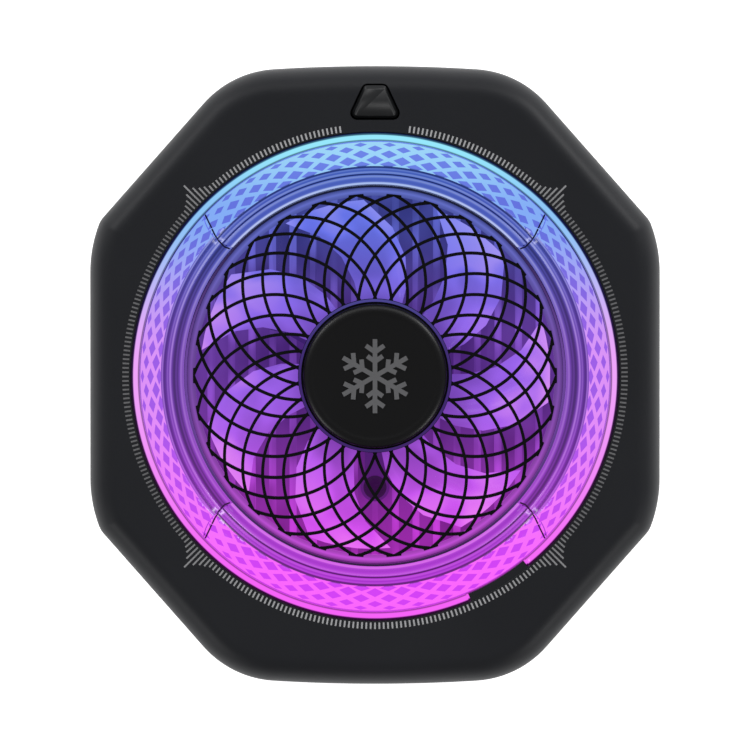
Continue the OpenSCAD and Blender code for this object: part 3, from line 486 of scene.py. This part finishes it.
# %% Finish of every solid
FINISH = {
    "rear_cover": (rear_black, "shell_rear"), "contact_ring": (soft_black, "contact_rubber"),
    "thermal_film": (film_grey, "film_grey"), "cold_plate": (bare_metal, "bare_aluminium"),
    "ring_magnets": (steel, "magnet_nickel"), "shunt_ring": (steel, "steel"),
    "tec_cold_ceramic": (ceramic_white, "ceramic"), "tec_pellets": (pellet_grey, "pellet"),
    "tec_hot_ceramic": (ceramic_white, "ceramic"), "tec_leads": (wire_red, "lead_wire"),
    "foam_gasket": (foam_black, "foam"), "heatsink": (fin_lit, "bare_aluminium"),
    "heatsink_screws": (steel, "steel"), "case_screws": (dark_steel, "dark_steel"),
    "main_board": (board_green, "board_green"), "usb_socket": (socket_steel, "socket_steel"),
    "usb_tongue": (dark_plastic, "black_plastic"), "controller_chips": (dark_plastic, "black_plastic"),
    "fan_frame": (frame_lit, "black_plastic"), "fan_screws": (screw_lit, "dark_steel"),
    "bearing": (bronze, "brass"), "stator_core": (steel, "steel"), "stator_coils": (copper, "copper"),
    "fan_board": (board_green, "board_green"), "impeller": (blade_lit, "fan_plastic"),
    "rotor_yoke": (steel, "steel"), "rotor_magnet": (ferrite, "ferrite"), "shaft": (steel, "steel"),
    "shaft_clip": (steel, "steel"), "light_tray": (tray_lit, "tray_white"),
    "tray_screws": (steel, "steel"), "led_board": (white_plastic, "tray_white"), "leds": (led_lit, "led"),
    "light_ring": (bright_lit, "bright_ring"), "lens_top": (lens_lit, "lens_clear"),
    "lens_bottom": (lens_lit, "lens_clear"), "lens_left": (side_lit, "lens_clear"),
    "lens_right": (side_lit, "lens_clear"), "lattice": (line_lit, "lattice_lines"),
    "throat_ring": (throat_lit, "throat_clear"), "bezel": (bezel_lit, "bezel_black"),
    "grille": (grille_black, "grille_black"), "hub_trim": (trim_lit, "trim_lit"),
    "button_cap": (button_black, "shell_black"), "switch_plunger": (grey_plastic, "light_grey"),
    "tact_switch": (dark_plastic, "black_plastic"), "button_board": (board_green, "board_green"),
}
for node, (material, slot_name) in FINISH.items():
    smooth_copy(node, material)
print("solids finished", len(FINISH))

# %% [markdown]
# ## Front cover
# The cover is the large dark form that the camera sees most of. Its outline is a chain of
# tangent arcs: a slight bow, a round corner, a slanted edge, a tight corner and a shoulder
# that runs into the side. A bevel modifier on the solid would keep its facets, so one
# closed strip of profile rows follows the outline with many more steps.

# %% Outline of the cover
_, cover_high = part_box("front_cover")
HALF_W, HALF_H, FRONT_Z = cover_high
BOW_R, BOW_TURN, BOW_STEPS = 2.7 * 2 * HALF_H, 3.5, 8
CORNER_R, CORNER_STEPS = 11.8 * MM, 14
SLANT, SLANT_STEPS = 48.6, 10
SIDE_R, SIDE_TURN, SIDE_STEPS = 3 * MM, 21, 8
SHOULDER_R, SHOULDER_STEPS = 15.8 * MM, 10
STRAIGHT_STEPS = 6
SMALLEST_R = 0.2 * MM
slope = Vector((math.cos(math.radians(SLANT)), -math.sin(math.radians(SLANT))))


def arc_step(r, a, b):
    """Way along an arc of radius r while its heading turns from a to b degrees."""
    a, b = math.radians(a), math.radians(b)
    return Vector((r * (math.sin(b) - math.sin(a)), r * (math.cos(b) - math.cos(a))))


def arc_points(start, r, a, b, steps):
    return [start + arc_step(r, a, a + (b - a) * i / steps) for i in range(1, steps + 1)]


def quarter(inset):
    """Points from the middle of the top edge to the middle of the side, moved in by inset."""
    corner_r = max(CORNER_R - inset, SMALLEST_R)
    side_r = max(SIDE_R - inset, SMALLEST_R)
    shoulder_from = SLANT + SIDE_TURN
    points = [Vector((0, HALF_H - inset))]
    points += arc_points(points[-1], BOW_R - inset, 0, BOW_TURN, BOW_STEPS)
    points += arc_points(points[-1], corner_r, BOW_TURN, SLANT, CORNER_STEPS)
    tail = arc_step(side_r, SLANT, shoulder_from) + arc_step(SHOULDER_R - inset, shoulder_from, 90)
    slant_start = points[-1]
    run = (HALF_W - inset - slant_start.x - tail.x) / slope.x
    points += [slant_start + run * slope * i / SLANT_STEPS for i in range(1, SLANT_STEPS + 1)]
    points += arc_points(points[-1], side_r, SLANT, shoulder_from, SIDE_STEPS)
    points += arc_points(points[-1], SHOULDER_R - inset, shoulder_from, 90, SHOULDER_STEPS)
    end = points[-1]
    points += [Vector((end.x, end.y * (1 - i / STRAIGHT_STEPS))) for i in range(1, STRAIGHT_STEPS + 1)]
    return points


def around(inset):
    """The quarter mirrored into the whole outline."""
    q = quarter(inset)
    ring = q + [Vector((p.x, -p.y)) for p in q[-2::-1]]
    ring += [Vector((-p.x, -p.y)) for p in q[1:]]
    ring += [Vector((-p.x, p.y)) for p in q[-2:0:-1]]
    return ring


print("outline points", len(around(0)))

# %% Rows of the cover
RIM_Z, WAIST_Z, BELT_Z = 9 * MM, 14 * MM, 19 * MM
RIM_INSET, WAIST_INSET = 1.0 * MM, 0.4 * MM
WALL_STEPS, EDGE_STEPS = 5, 14
EDGE_W, EDGE_H, WALL = 3.0 * MM, 4.0 * MM, 1.6 * MM
OPENING_R, OPENING_ROUND = 28.3 * MM, 0.12 * MM
COLLAR_W, COLLAR_Z = 0.9 * MM, 21.6 * MM
INNER_ROUND_IN, INNER_ROUND_UP = 0.6 * MM, 1.2 * MM
FACE_SHARES = (0.04, 0.3, 0.6, 0.9)


def row(inset, z):
    return [Vector((p.x, p.y, z)) for p in around(inset)]


def round_row(r, z):
    """Points on a circle that lie toward the points of the outline."""
    return [Vector((r * p.normalized().x, r * p.normalized().y, z)) for p in around(EDGE_W)]


rows = []
for i in range(WALL_STEPS + 1):
    s = i / WALL_STEPS
    rows.append(row(RIM_INSET + (WAIST_INSET - RIM_INSET) * s, RIM_Z + (WAIST_Z - RIM_Z) * s))
for i in range(1, WALL_STEPS + 1):
    s = i / WALL_STEPS
    rows.append(row(WAIST_INSET * (1 - s), WAIST_Z + (BELT_Z - WAIST_Z) * s))
for i in range(EDGE_STEPS + 1):
    a = math.radians(90 * i / EDGE_STEPS)
    rows.append(row(EDGE_W * (1 - math.cos(a)), FRONT_Z - EDGE_H * (1 - math.sin(a))))
face_edge = rows[-1]
opening = round_row(OPENING_R, FRONT_Z)
rows += [[p.lerp(q, s) for p, q in zip(face_edge, opening)] for s in FACE_SHARES]
rows += [
    round_row(OPENING_R + OPENING_ROUND, FRONT_Z),
    round_row(OPENING_R, FRONT_Z - OPENING_ROUND),
    round_row(OPENING_R, COLLAR_Z),
    round_row(OPENING_R + COLLAR_W, COLLAR_Z),
    round_row(OPENING_R + COLLAR_W, FRONT_Z - WALL),
    row(WALL + 2 * MM, FRONT_Z - WALL),
    row(WALL + INNER_ROUND_IN, FRONT_Z - EDGE_H + INNER_ROUND_UP),
    row(WALL, FRONT_Z - EDGE_H),
    row(WALL, BELT_Z),
    row(WALL + WAIST_INSET, WAIST_Z),
    row(WALL + RIM_INSET, RIM_Z),
]


def strip_object(name, rows):
    """Skin over rows that is closed both ways, also from the last row back to the first."""
    work = bmesh.new()
    rings = [[work.verts.new(p) for p in points] for points in rows]
    n = len(rings[0])
    for a, b in zip(rings, rings[1:] + rings[:1]):
        for i in range(n):
            j = (i + 1) % n
            work.faces.new((a[j], a[i], b[i], b[j]))
    return object_from(work, name)


front_shell = strip_object("front_shell", rows)
print("front cover faces", len(front_shell.data.polygons))

# %% [markdown]
# ## Openings of the cover
# Air leaves through slots in the slanted walls and the upper wall, and through two pairs
# beside the power inlet. The button sits in an opening of its own shape. One cutter with
# all of them is taken off in a single boolean, because a boolean for each would be slow.


# %% Cutter shapes
def prism(work, outline, z0, z1):
    """Upright prism over a flat outline."""
    lower_ring = [work.verts.new((x, y, z0)) for x, y in outline]
    upper_ring = [work.verts.new((x, y, z1)) for x, y in outline]
    n = len(outline)
    work.faces.new(lower_ring[::-1])
    work.faces.new(upper_ring)
    for i in range(n):
        j = (i + 1) % n
        work.faces.new((lower_ring[i], lower_ring[j], upper_ring[j], upper_ring[i]))


def bar_outline(start, way, length, half_w):
    """Corners of a straight bar that begins at start."""
    side = Vector((-way.y, way.x)) * half_w
    end = start + way * length
    return [tuple(p) for p in (start - side, end - side, end + side, start + side)]


# %% Air slots
VENT_W, VENT_H, VENT_PITCH, VENT_Z = 1.5 * MM, 6.5 * MM, 3.1 * MM, 10.6 * MM
SLANT_VENTS, TOP_VENTS, FOOT_VENTS = 6, 8, 2
FOOT_VENT_X = 7.37 * MM
CUT_REACH = 4 * MM
cut = bmesh.new()


def cut_slot(x, y, way):
    start = Vector((x, y)) - way * CUT_REACH
    prism(cut, bar_outline(start, way, 2 * CUT_REACH, VENT_W / 2), VENT_Z, VENT_Z + VENT_H)


q = quarter(0)
slant_from = BOW_STEPS + CORNER_STEPS
slant_middle = (q[slant_from] + q[slant_from + SLANT_STEPS]) / 2
outward = Vector((-slope.y, slope.x))
for sx in (-1, 1):
    for sy in (-1, 1):
        for i in range(SLANT_VENTS):
            c = slant_middle + slope * (i - (SLANT_VENTS - 1) / 2) * VENT_PITCH
            cut_slot(sx * c.x, sy * c.y, Vector((sx * outward.x, sy * outward.y)))
for i in range(TOP_VENTS):
    cut_slot((i - (TOP_VENTS - 1) / 2) * VENT_PITCH, HALF_H, Vector((0, 1)))
for sx in (-1, 1):
    for i in range(FOOT_VENTS):
        cut_slot(sx * (FOOT_VENT_X + i * VENT_PITCH), -HALF_H, Vector((0, 1)))

# %% Power inlet
INLET_GAP, INLET_STEPS = 0.3 * MM, 32
socket_low, socket_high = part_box("usb_socket")
socket_r = (socket_high[2] - socket_low[2]) / 2
inlet_z = (socket_high[2] + socket_low[2]) / 2
inlet_dx = socket_high[0] - socket_r
inlet_r = socket_r + INLET_GAP
first_vert = len(cut.verts)
inlet_outline = []
for i in range(INLET_STEPS):
    a = 2 * math.pi * i / INLET_STEPS
    x = inlet_r * math.cos(a) + (inlet_dx if math.cos(a) > 0 else -inlet_dx)
    inlet_outline.append((x, inlet_r * math.sin(a)))
prism(cut, inlet_outline, -CUT_REACH, CUT_REACH)
cut.verts.ensure_lookup_table()
for v in cut.verts[first_vert:]:
    x, y, z = v.co
    v.co = (x, z - HALF_H, y + inlet_z)

# %% Button opening
BUTTON_LOW_W, BUTTON_TOP_W, BUTTON_H, BUTTON_R = 5.35 * MM, 2.9 * MM, 3.8 * MM, 0.6 * MM
BUTTON_GAP, BUTTON_STEPS = 0.2 * MM, 8
BUTTON_DOWN, BUTTON_UP = 3 * MM, 2 * MM
TOP_MARGIN, BUTTON_SHARE = 7.6 * MM, 0.467
button_y = OPENING_R + BUTTON_SHARE * TOP_MARGIN


def button_outline(grow):
    """Rounded trapezoid of the button, grown by an even margin."""
    dy = BUTTON_H / 2 - BUTTON_R
    low_x, top_x = BUTTON_LOW_W / 2 - BUTTON_R, BUTTON_TOP_W / 2 - BUTTON_R
    lean = math.degrees(math.atan2(low_x - top_x, 2 * dy))
    spots = [
        (low_x, -dy, -90, lean), (top_x, dy, lean, 90),
        (-top_x, dy, 90, 180 - lean), (-low_x, -dy, 180 - lean, 270)]
    outline = []
    for x, y, a0, a1 in spots:
        for i in range(BUTTON_STEPS + 1):
            a = math.radians(a0 + (a1 - a0) * i / BUTTON_STEPS)
            r = BUTTON_R + grow
            outline.append((x + r * math.cos(a), button_y + y + r * math.sin(a)))
    return outline


prism(cut, button_outline(BUTTON_GAP), FRONT_Z - BUTTON_DOWN, FRONT_Z + BUTTON_UP)

# %% Cut the cover
COVER_SMOOTH_BELOW = 35
cutter = object_from(cut, "shell_cut")
subtract = front_shell.modifiers.new("Cut", "BOOLEAN")
subtract.operation = "DIFFERENCE"
subtract.solver = "EXACT"
subtract.object = cutter
bpy.context.view_layer.update()
shaped = front_shell.evaluated_get(bpy.context.evaluated_depsgraph_get())
cut_mesh = bpy.data.meshes.new_from_object(shaped)
front_shell.modifiers.clear()
front_shell.data = cut_mesh
bpy.data.objects.remove(cutter)
smooth(front_shell.data, COVER_SMOOTH_BELOW)
weights = front_shell.modifiers.new("Even normals", "WEIGHTED_NORMAL")
weights.keep_sharp = True
dress(front_shell, shell_black, "front_cover")
print("cut cover faces", len(front_shell.data.polygons))

# %% [markdown]
# ## Black key
# A short black key of the cover interrupts the bright ring at its lower right. It is a
# bent bar, so its outline follows two arcs with the same centre.

# %% Key
KEY_IN, KEY_OUT = 27.45 * MM, 28.5 * MM
KEY_FROM, KEY_SWEEP, KEY_STEPS = -66.8, 15.6, 12
KEY_H, KEY_SUNK = 1.5 * MM, 0.05 * MM


def on_circle(r, degree):
    a = math.radians(degree)
    return Vector((r * math.cos(a), r * math.sin(a)))


key_turns = [KEY_FROM + KEY_SWEEP * i / KEY_STEPS for i in range(KEY_STEPS + 1)]
key_outline = [tuple(on_circle(KEY_IN, d)) for d in key_turns]
key_outline += [tuple(on_circle(KEY_OUT, d)) for d in reversed(key_turns)]
key_work = bmesh.new()
prism(key_work, key_outline, FRONT_Z - KEY_H, FRONT_Z - KEY_SUNK)
dress(object_from(key_work, "ring_key"), shell_black)

# %% [markdown]
# ## Printed scale
# A fine grey scale is printed round the opening: one mark for each degree, longer at the
# four diagonals, with a gap under the button. A texture would blur at this size, so thin
# flat marks lie just above the cover. The print is paler near the top and the foot.

# %% Printed finish
print_grey, print_tree, print_shader = shader_of("Printed grey")
printed = print_tree.nodes.new("ShaderNodeNewGeometry")
height = math_node(print_tree, "ABSOLUTE", axes_of(print_tree, printed.outputs["Position"])["Y"])
fade = range_node(print_tree, height, 15 * MM, 28 * MM)
print_colour = mix_node(print_tree, fade, linear(88, 88, 90), linear(150, 150, 152))
print_tree.links.new(print_colour, print_shader.inputs["Base Color"])
print_shader.inputs["Roughness"].default_value = 0.6

# %% Marks
MARK_IN, MARK_OUT, MARK_HALF_W, MARK_LIFT = 28.55 * MM, 29.3 * MM, 0.1 * MM, 0.02 * MM
LONG_MARKS = {0: 31.3 * MM, 1: 30.4 * MM, 2: 29.9 * MM, 3: 29.6 * MM}
BUTTON_HALF_GAP = 7.5


def turn_from(degree, *others):
    """Smallest turn between a heading and any of the others."""
    return min(abs((degree - other + 180) % 360 - 180) for other in others)


mark_work = bmesh.new()
for degree in range(360):
    if turn_from(degree, 90) < BUTTON_HALF_GAP:
        continue
    outer = LONG_MARKS.get(turn_from(degree, 45, 135, 225, 315), MARK_OUT)
    way = on_circle(1, degree)
    corners = bar_outline(way * MARK_IN, way, outer - MARK_IN, MARK_HALF_W)
    mark_work.faces.new([mark_work.verts.new((x, y, FRONT_Z + MARK_LIFT)) for x, y in corners])
printed_scale = object_from(mark_work, "printed_scale", closed=False)
dress(printed_scale, print_grey)
print("printed marks", len(printed_scale.data.polygons))

# %% [markdown]
# ## Diamonds and seams
# The lit band shows rows of darker diamonds between its pale lines. The solid has the same
# rows as openings; here each one gets a thin tile of the deeper colour. Thin dark strips of painted
# shade lie on the gaps between the four lens segments and bend where they cross from the band to
# the dish. Each short stretch of a strip asks the lens below for its height by a ray and lies on it.

# %% Diamonds
BAND_OUT, BAND_IN, SIDE_BAND_IN = 27.25 * MM, 24.4 * MM, 24.85 * MM
DIAMONDS, SEAM_TURN, SEAM_CLEAR = 50, 44.5, 2.6
TILE_LIFT, TILE_EDGE = 0.015 * MM, 0.02 * MM
# Place across the band, width in mm, share of the band and shift along the row
DIAMOND_ROWS = (
    (0.06, 2.15, 0.28, 0.5), (0.245, 2.05, 0.36, 0), (0.49, 1.95, 0.32, 0.5),
    (0.71, 1.75, 0.25, 0), (0.88, 1.55, 0.17, 0.5))
tile_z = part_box("lattice")[1][2] + TILE_LIFT
tiles = bmesh.new()
for across, width, share, shift in DIAMOND_ROWS:
    for i in range(DIAMONDS):
        degree = 90 + (i + shift) * 360 / DIAMONDS
        from_axis = turn_from(degree, 90, 270)
        if abs(from_axis - SEAM_TURN) < SEAM_CLEAR:
            continue
        inner = BAND_IN if from_axis < SEAM_TURN else SIDE_BAND_IN
        band = BAND_OUT - inner
        centre = on_circle(inner + across * band, degree)
        long = on_circle(share * band / 2, degree)
        wide = on_circle(width * MM / 2, degree + 90)
        corners = [centre + long, centre + wide, centre - long, centre - wide]
        if (centre - long).length < inner + TILE_EDGE:
            corners = [centre + long, centre + wide, centre - wide]
        tiles.faces.new([tiles.verts.new((p.x, p.y, tile_z)) for p in corners])
lattice_diamonds = object_from(tiles, "lattice_diamonds", closed=False)
dress(lattice_diamonds, diamond_lit)
print("diamonds", len(lattice_diamonds.data.polygons))

# %% Seams
# Radius in mm and turn from the upright axis
SEAM_PATH = ((27.4, 46.2), (26.2, 47.2), (24.8, 48.5), (24.0, 49.1), (23.0, 49.4), (22.4, 48.8))
SEAM_HALF_W, SEAM_DEPTH, SEAM_LIFT, SEAM_STEPS = 0.09 * MM, 0.2 * MM, 0.03 * MM, 6
DISH_Z, RAY_FROM_Z = 25.4 * MM, 40 * MM
under_seam = []
for name in ("lens_top", "lens_bottom", "lens_left", "lens_right", "lattice"):
    under_seam.append(bpy.data.objects[name + "_piece"])


def surface_z(point):
    """Height of the lens or the lattice under a point on the face."""
    hits = [obj.ray_cast((point.x, point.y, RAY_FROM_Z), (0, 0, -1)) for obj in under_seam]
    return max([hit[1].z for hit in hits if hit[0]], default=DISH_Z)


seam_shade_work = bmesh.new()
for sx in (-1, 1):
    for sy in (-1, 1):
        bends = []
        for r, turn in SEAM_PATH:
            p = on_circle(r * MM, 90 - turn)
            bends.append(Vector((sx * p.x, sy * p.y)))
        path = [p.lerp(q, i / SEAM_STEPS) for p, q in zip(bends, bends[1:]) for i in range(SEAM_STEPS)]
        path.append(bends[-1])
        for p, q in zip(path, path[1:]):
            way = (q - p).normalized()
            side = Vector((-way.y, way.x)) * SEAM_HALF_W
            ground = max(surface_z((p + q) / 2 + side * k) for k in (-1, 0, 1))
            stretch = bar_outline(p, way, (q - p).length, SEAM_HALF_W)
            prism(seam_shade_work, stretch, ground - SEAM_DEPTH, ground + SEAM_LIFT)
# The strips carry painted shade of the gaps between the lens segments.
dress(object_from(seam_shade_work, "lens_seam_shade"), seam_shade)

# %% [markdown]
# ## Hub cap
# The cap is a shallow disc with a rounded bevel, so a profile is turned about the axis of
# the fan. The face lies a little lower than the bevel, as on a moulded cap with a rim.

# %% Turned cap
TURN_STEPS, CAP_SMOOTH_BELOW = 160, 40
BEVEL_W, BEVEL_H, BEVEL_STEPS = 0.95 * MM, 0.7 * MM, 8
FACE_SUNK, FACE_FROM, FACE_FLAT = 0.06 * MM, 1.1 * MM, 1.4 * MM


def turned(name, profile):
    """Turns (radius, height) points about the axis of the fan."""
    work = bmesh.new()
    rings = []
    for r, z in profile:
        turns = [360 * i / TURN_STEPS for i in range(TURN_STEPS)] if r else [0]
        rings.append([work.verts.new((*on_circle(r, d), z)) for d in turns])
    for lower_ring, upper_ring in zip(rings, rings[1:]):
        for i in range(TURN_STEPS):
            j = (i + 1) % TURN_STEPS
            below = [lower_ring[i % len(lower_ring)], lower_ring[j % len(lower_ring)]]
            above = [upper_ring[j % len(upper_ring)], upper_ring[i % len(upper_ring)]]
            work.faces.new(list(dict.fromkeys(below + above)))
    obj = object_from(work, name)
    smooth(obj.data, CAP_SMOOTH_BELOW)
    return obj


cap_low, cap_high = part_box("hub_cap")
cap_r, cap_foot, cap_top = cap_high[0], cap_low[2], cap_high[2]
profile = [(0, cap_foot), (cap_r, cap_foot)]
for i in range(BEVEL_STEPS + 1):
    a = math.radians(90 * i / BEVEL_STEPS)
    profile.append((cap_r - BEVEL_W * (1 - math.cos(a)), cap_top - BEVEL_H * (1 - math.sin(a))))
for r in (cap_r - FACE_FROM, cap_r - FACE_FLAT, 0):
    profile.append((r, cap_top - FACE_SUNK))
dress(turned("hub_cap_piece", profile), cap_black, "hub_cap")

# %% [markdown]
# ## Snow crystal
# The cap carries a plain snow crystal, the common sign for cooling. Six arms with two pairs
# of twigs are thin raised bars. Each bar ends at its own height, because faces at one
# height that overlap would flicker.

# %% Crystal
ARMS, ARM_LENGTH, BAR_HALF_W = 6, 4.3 * MM, 0.27 * MM
TWIGS = ((1.7 * MM, 1.1 * MM), (2.8 * MM, 1.3 * MM))
TWIG_TURN = 55
BAR_SUNK, BAR_LIFT, ARM_STEP, TWIG_STEP = 0.05 * MM, 0.004 * MM, 0.004 * MM, 0.0007 * MM
crystal_work = bmesh.new()
for arm in range(ARMS):
    degree = 90 + 360 / ARMS * arm
    bars = [(Vector((0, 0)), degree, ARM_LENGTH)]
    for reach, length in TWIGS:
        for s in (-1, 1):
            bars.append((on_circle(reach, degree), degree + s * TWIG_TURN, length))
    for k, (foot, heading, length) in enumerate(bars):
        top = cap_top + BAR_LIFT + ARM_STEP * arm + TWIG_STEP * (len(bars) - 1 - k)
        bar = bar_outline(foot, on_circle(1, heading), length, BAR_HALF_W)
        prism(crystal_work, bar, cap_top - BAR_SUNK, top)
dress(object_from(crystal_work, "snow_crystal"), crystal_grey)
print("crystal bars", ARMS * (1 + 2 * len(TWIGS)))

# %% [markdown]
# ## Studio
# A wide soft light stands behind the button, so the upper edge of the cover shines a
# little. Four low lights face the slanted edges, where each one leaves a soft band on the
# rounded rim. The floor answers camera rays with white and still takes the shadow.

# %% Floor and world
FLOOR_HALF, FLOOR_Z = 1.5, -0.0002
FLOOR_GREY = (0.8, 0.8, 0.8, 1)
WORLD_LEVEL = 0.3
floor_work = bmesh.new()
bmesh.ops.create_grid(floor_work, x_segments=1, y_segments=1, size=FLOOR_HALF)
floor = object_from(floor_work, "floor", closed=False)
floor.location.z = FLOOR_Z
floor_white, floor_tree, floor_shader = shader_of("Floor white")
ray = floor_tree.nodes.new("ShaderNodeLightPath")
seen = math_node(floor_tree, "MAXIMUM", ray.outputs["Is Camera Ray"], ray.outputs["Is Glossy Ray"])
seen = math_node(floor_tree, "MAXIMUM", seen, ray.outputs["Is Transmission Ray"])
floor_tree.links.new(mix_node(floor_tree, seen, BLACK, FLOOR_GREY), floor_shader.inputs["Emission Color"])
floor_shader.inputs["Emission Strength"].default_value = 1.0
floor_shader.inputs["Base Color"].default_value = FLOOR_GREY
floor_shader.inputs["Roughness"].default_value = 0.9
floor.data.materials.append(floor_white)
world = bpy.data.worlds.new("studio")
bpy.context.scene.world = world
world.use_nodes = True
world.node_tree.nodes["Background"].inputs["Color"].default_value = WHITE
world.node_tree.nodes["Background"].inputs["Strength"].default_value = WORLD_LEVEL

# %% Lamps
LAMP_AIM = Vector((0, 0, 0.02))
LOW_LAMP_Z, LOW_LAMP_SIZE = 0.26, (0.22, 0.16)


def soft_lamp(name, place, size, power):
    data = bpy.data.lights.new(name, "AREA")
    data.shape = "RECTANGLE"
    data.size, data.size_y = size
    data.energy = power
    lamp = new_object(name, data)
    lamp.location = place
    lamp.rotation_euler = (LAMP_AIM - Vector(place)).to_track_quat("-Z", "Y").to_euler()


soft_lamp("upper light", (0, 0.55, 0.4), (0.9, 0.35), 2.4)
for name, x, y, power in (
        ("upper left", -0.5, 0.44, 1.9), ("upper right", 0.5, 0.44, 2.7),
        ("lower left", -0.5, -0.44, 1.6), ("lower right", 0.5, -0.44, 1.6)):
    soft_lamp(name + " light", (x, y, LOW_LAMP_Z), LOW_LAMP_SIZE, power)

# %% [markdown]
# ## Camera
# The picture is taken from almost straight above with a long lens, leaning two degrees
# toward the button. The distance follows from how many pixels one millimetre takes.

# %% Camera
LENS, SENSOR, CAMERA_LEAN = 600.0, 36.0, 2.0
PICTURE_PX, PIXELS_PER_MM = 750, 8.62
AIM = Vector((0, 0.14 * MM, 27 * MM))
distance = PICTURE_PX / PIXELS_PER_MM * MM * LENS / SENSOR
lean = math.radians(CAMERA_LEAN)
camera_data = bpy.data.cameras.new("camera")
camera_data.lens = LENS
camera_data.sensor_width = SENSOR
camera_data.clip_start = 0.01
camera = new_object("camera", camera_data)
camera.location = AIM + distance * Vector((0, math.sin(lean), math.cos(lean)))
camera.rotation_euler = (-lean, 0, 0)
bpy.context.scene.camera = camera
bpy.context.scene.view_settings.view_transform = "Standard"
print("camera distance", round(distance, 3))
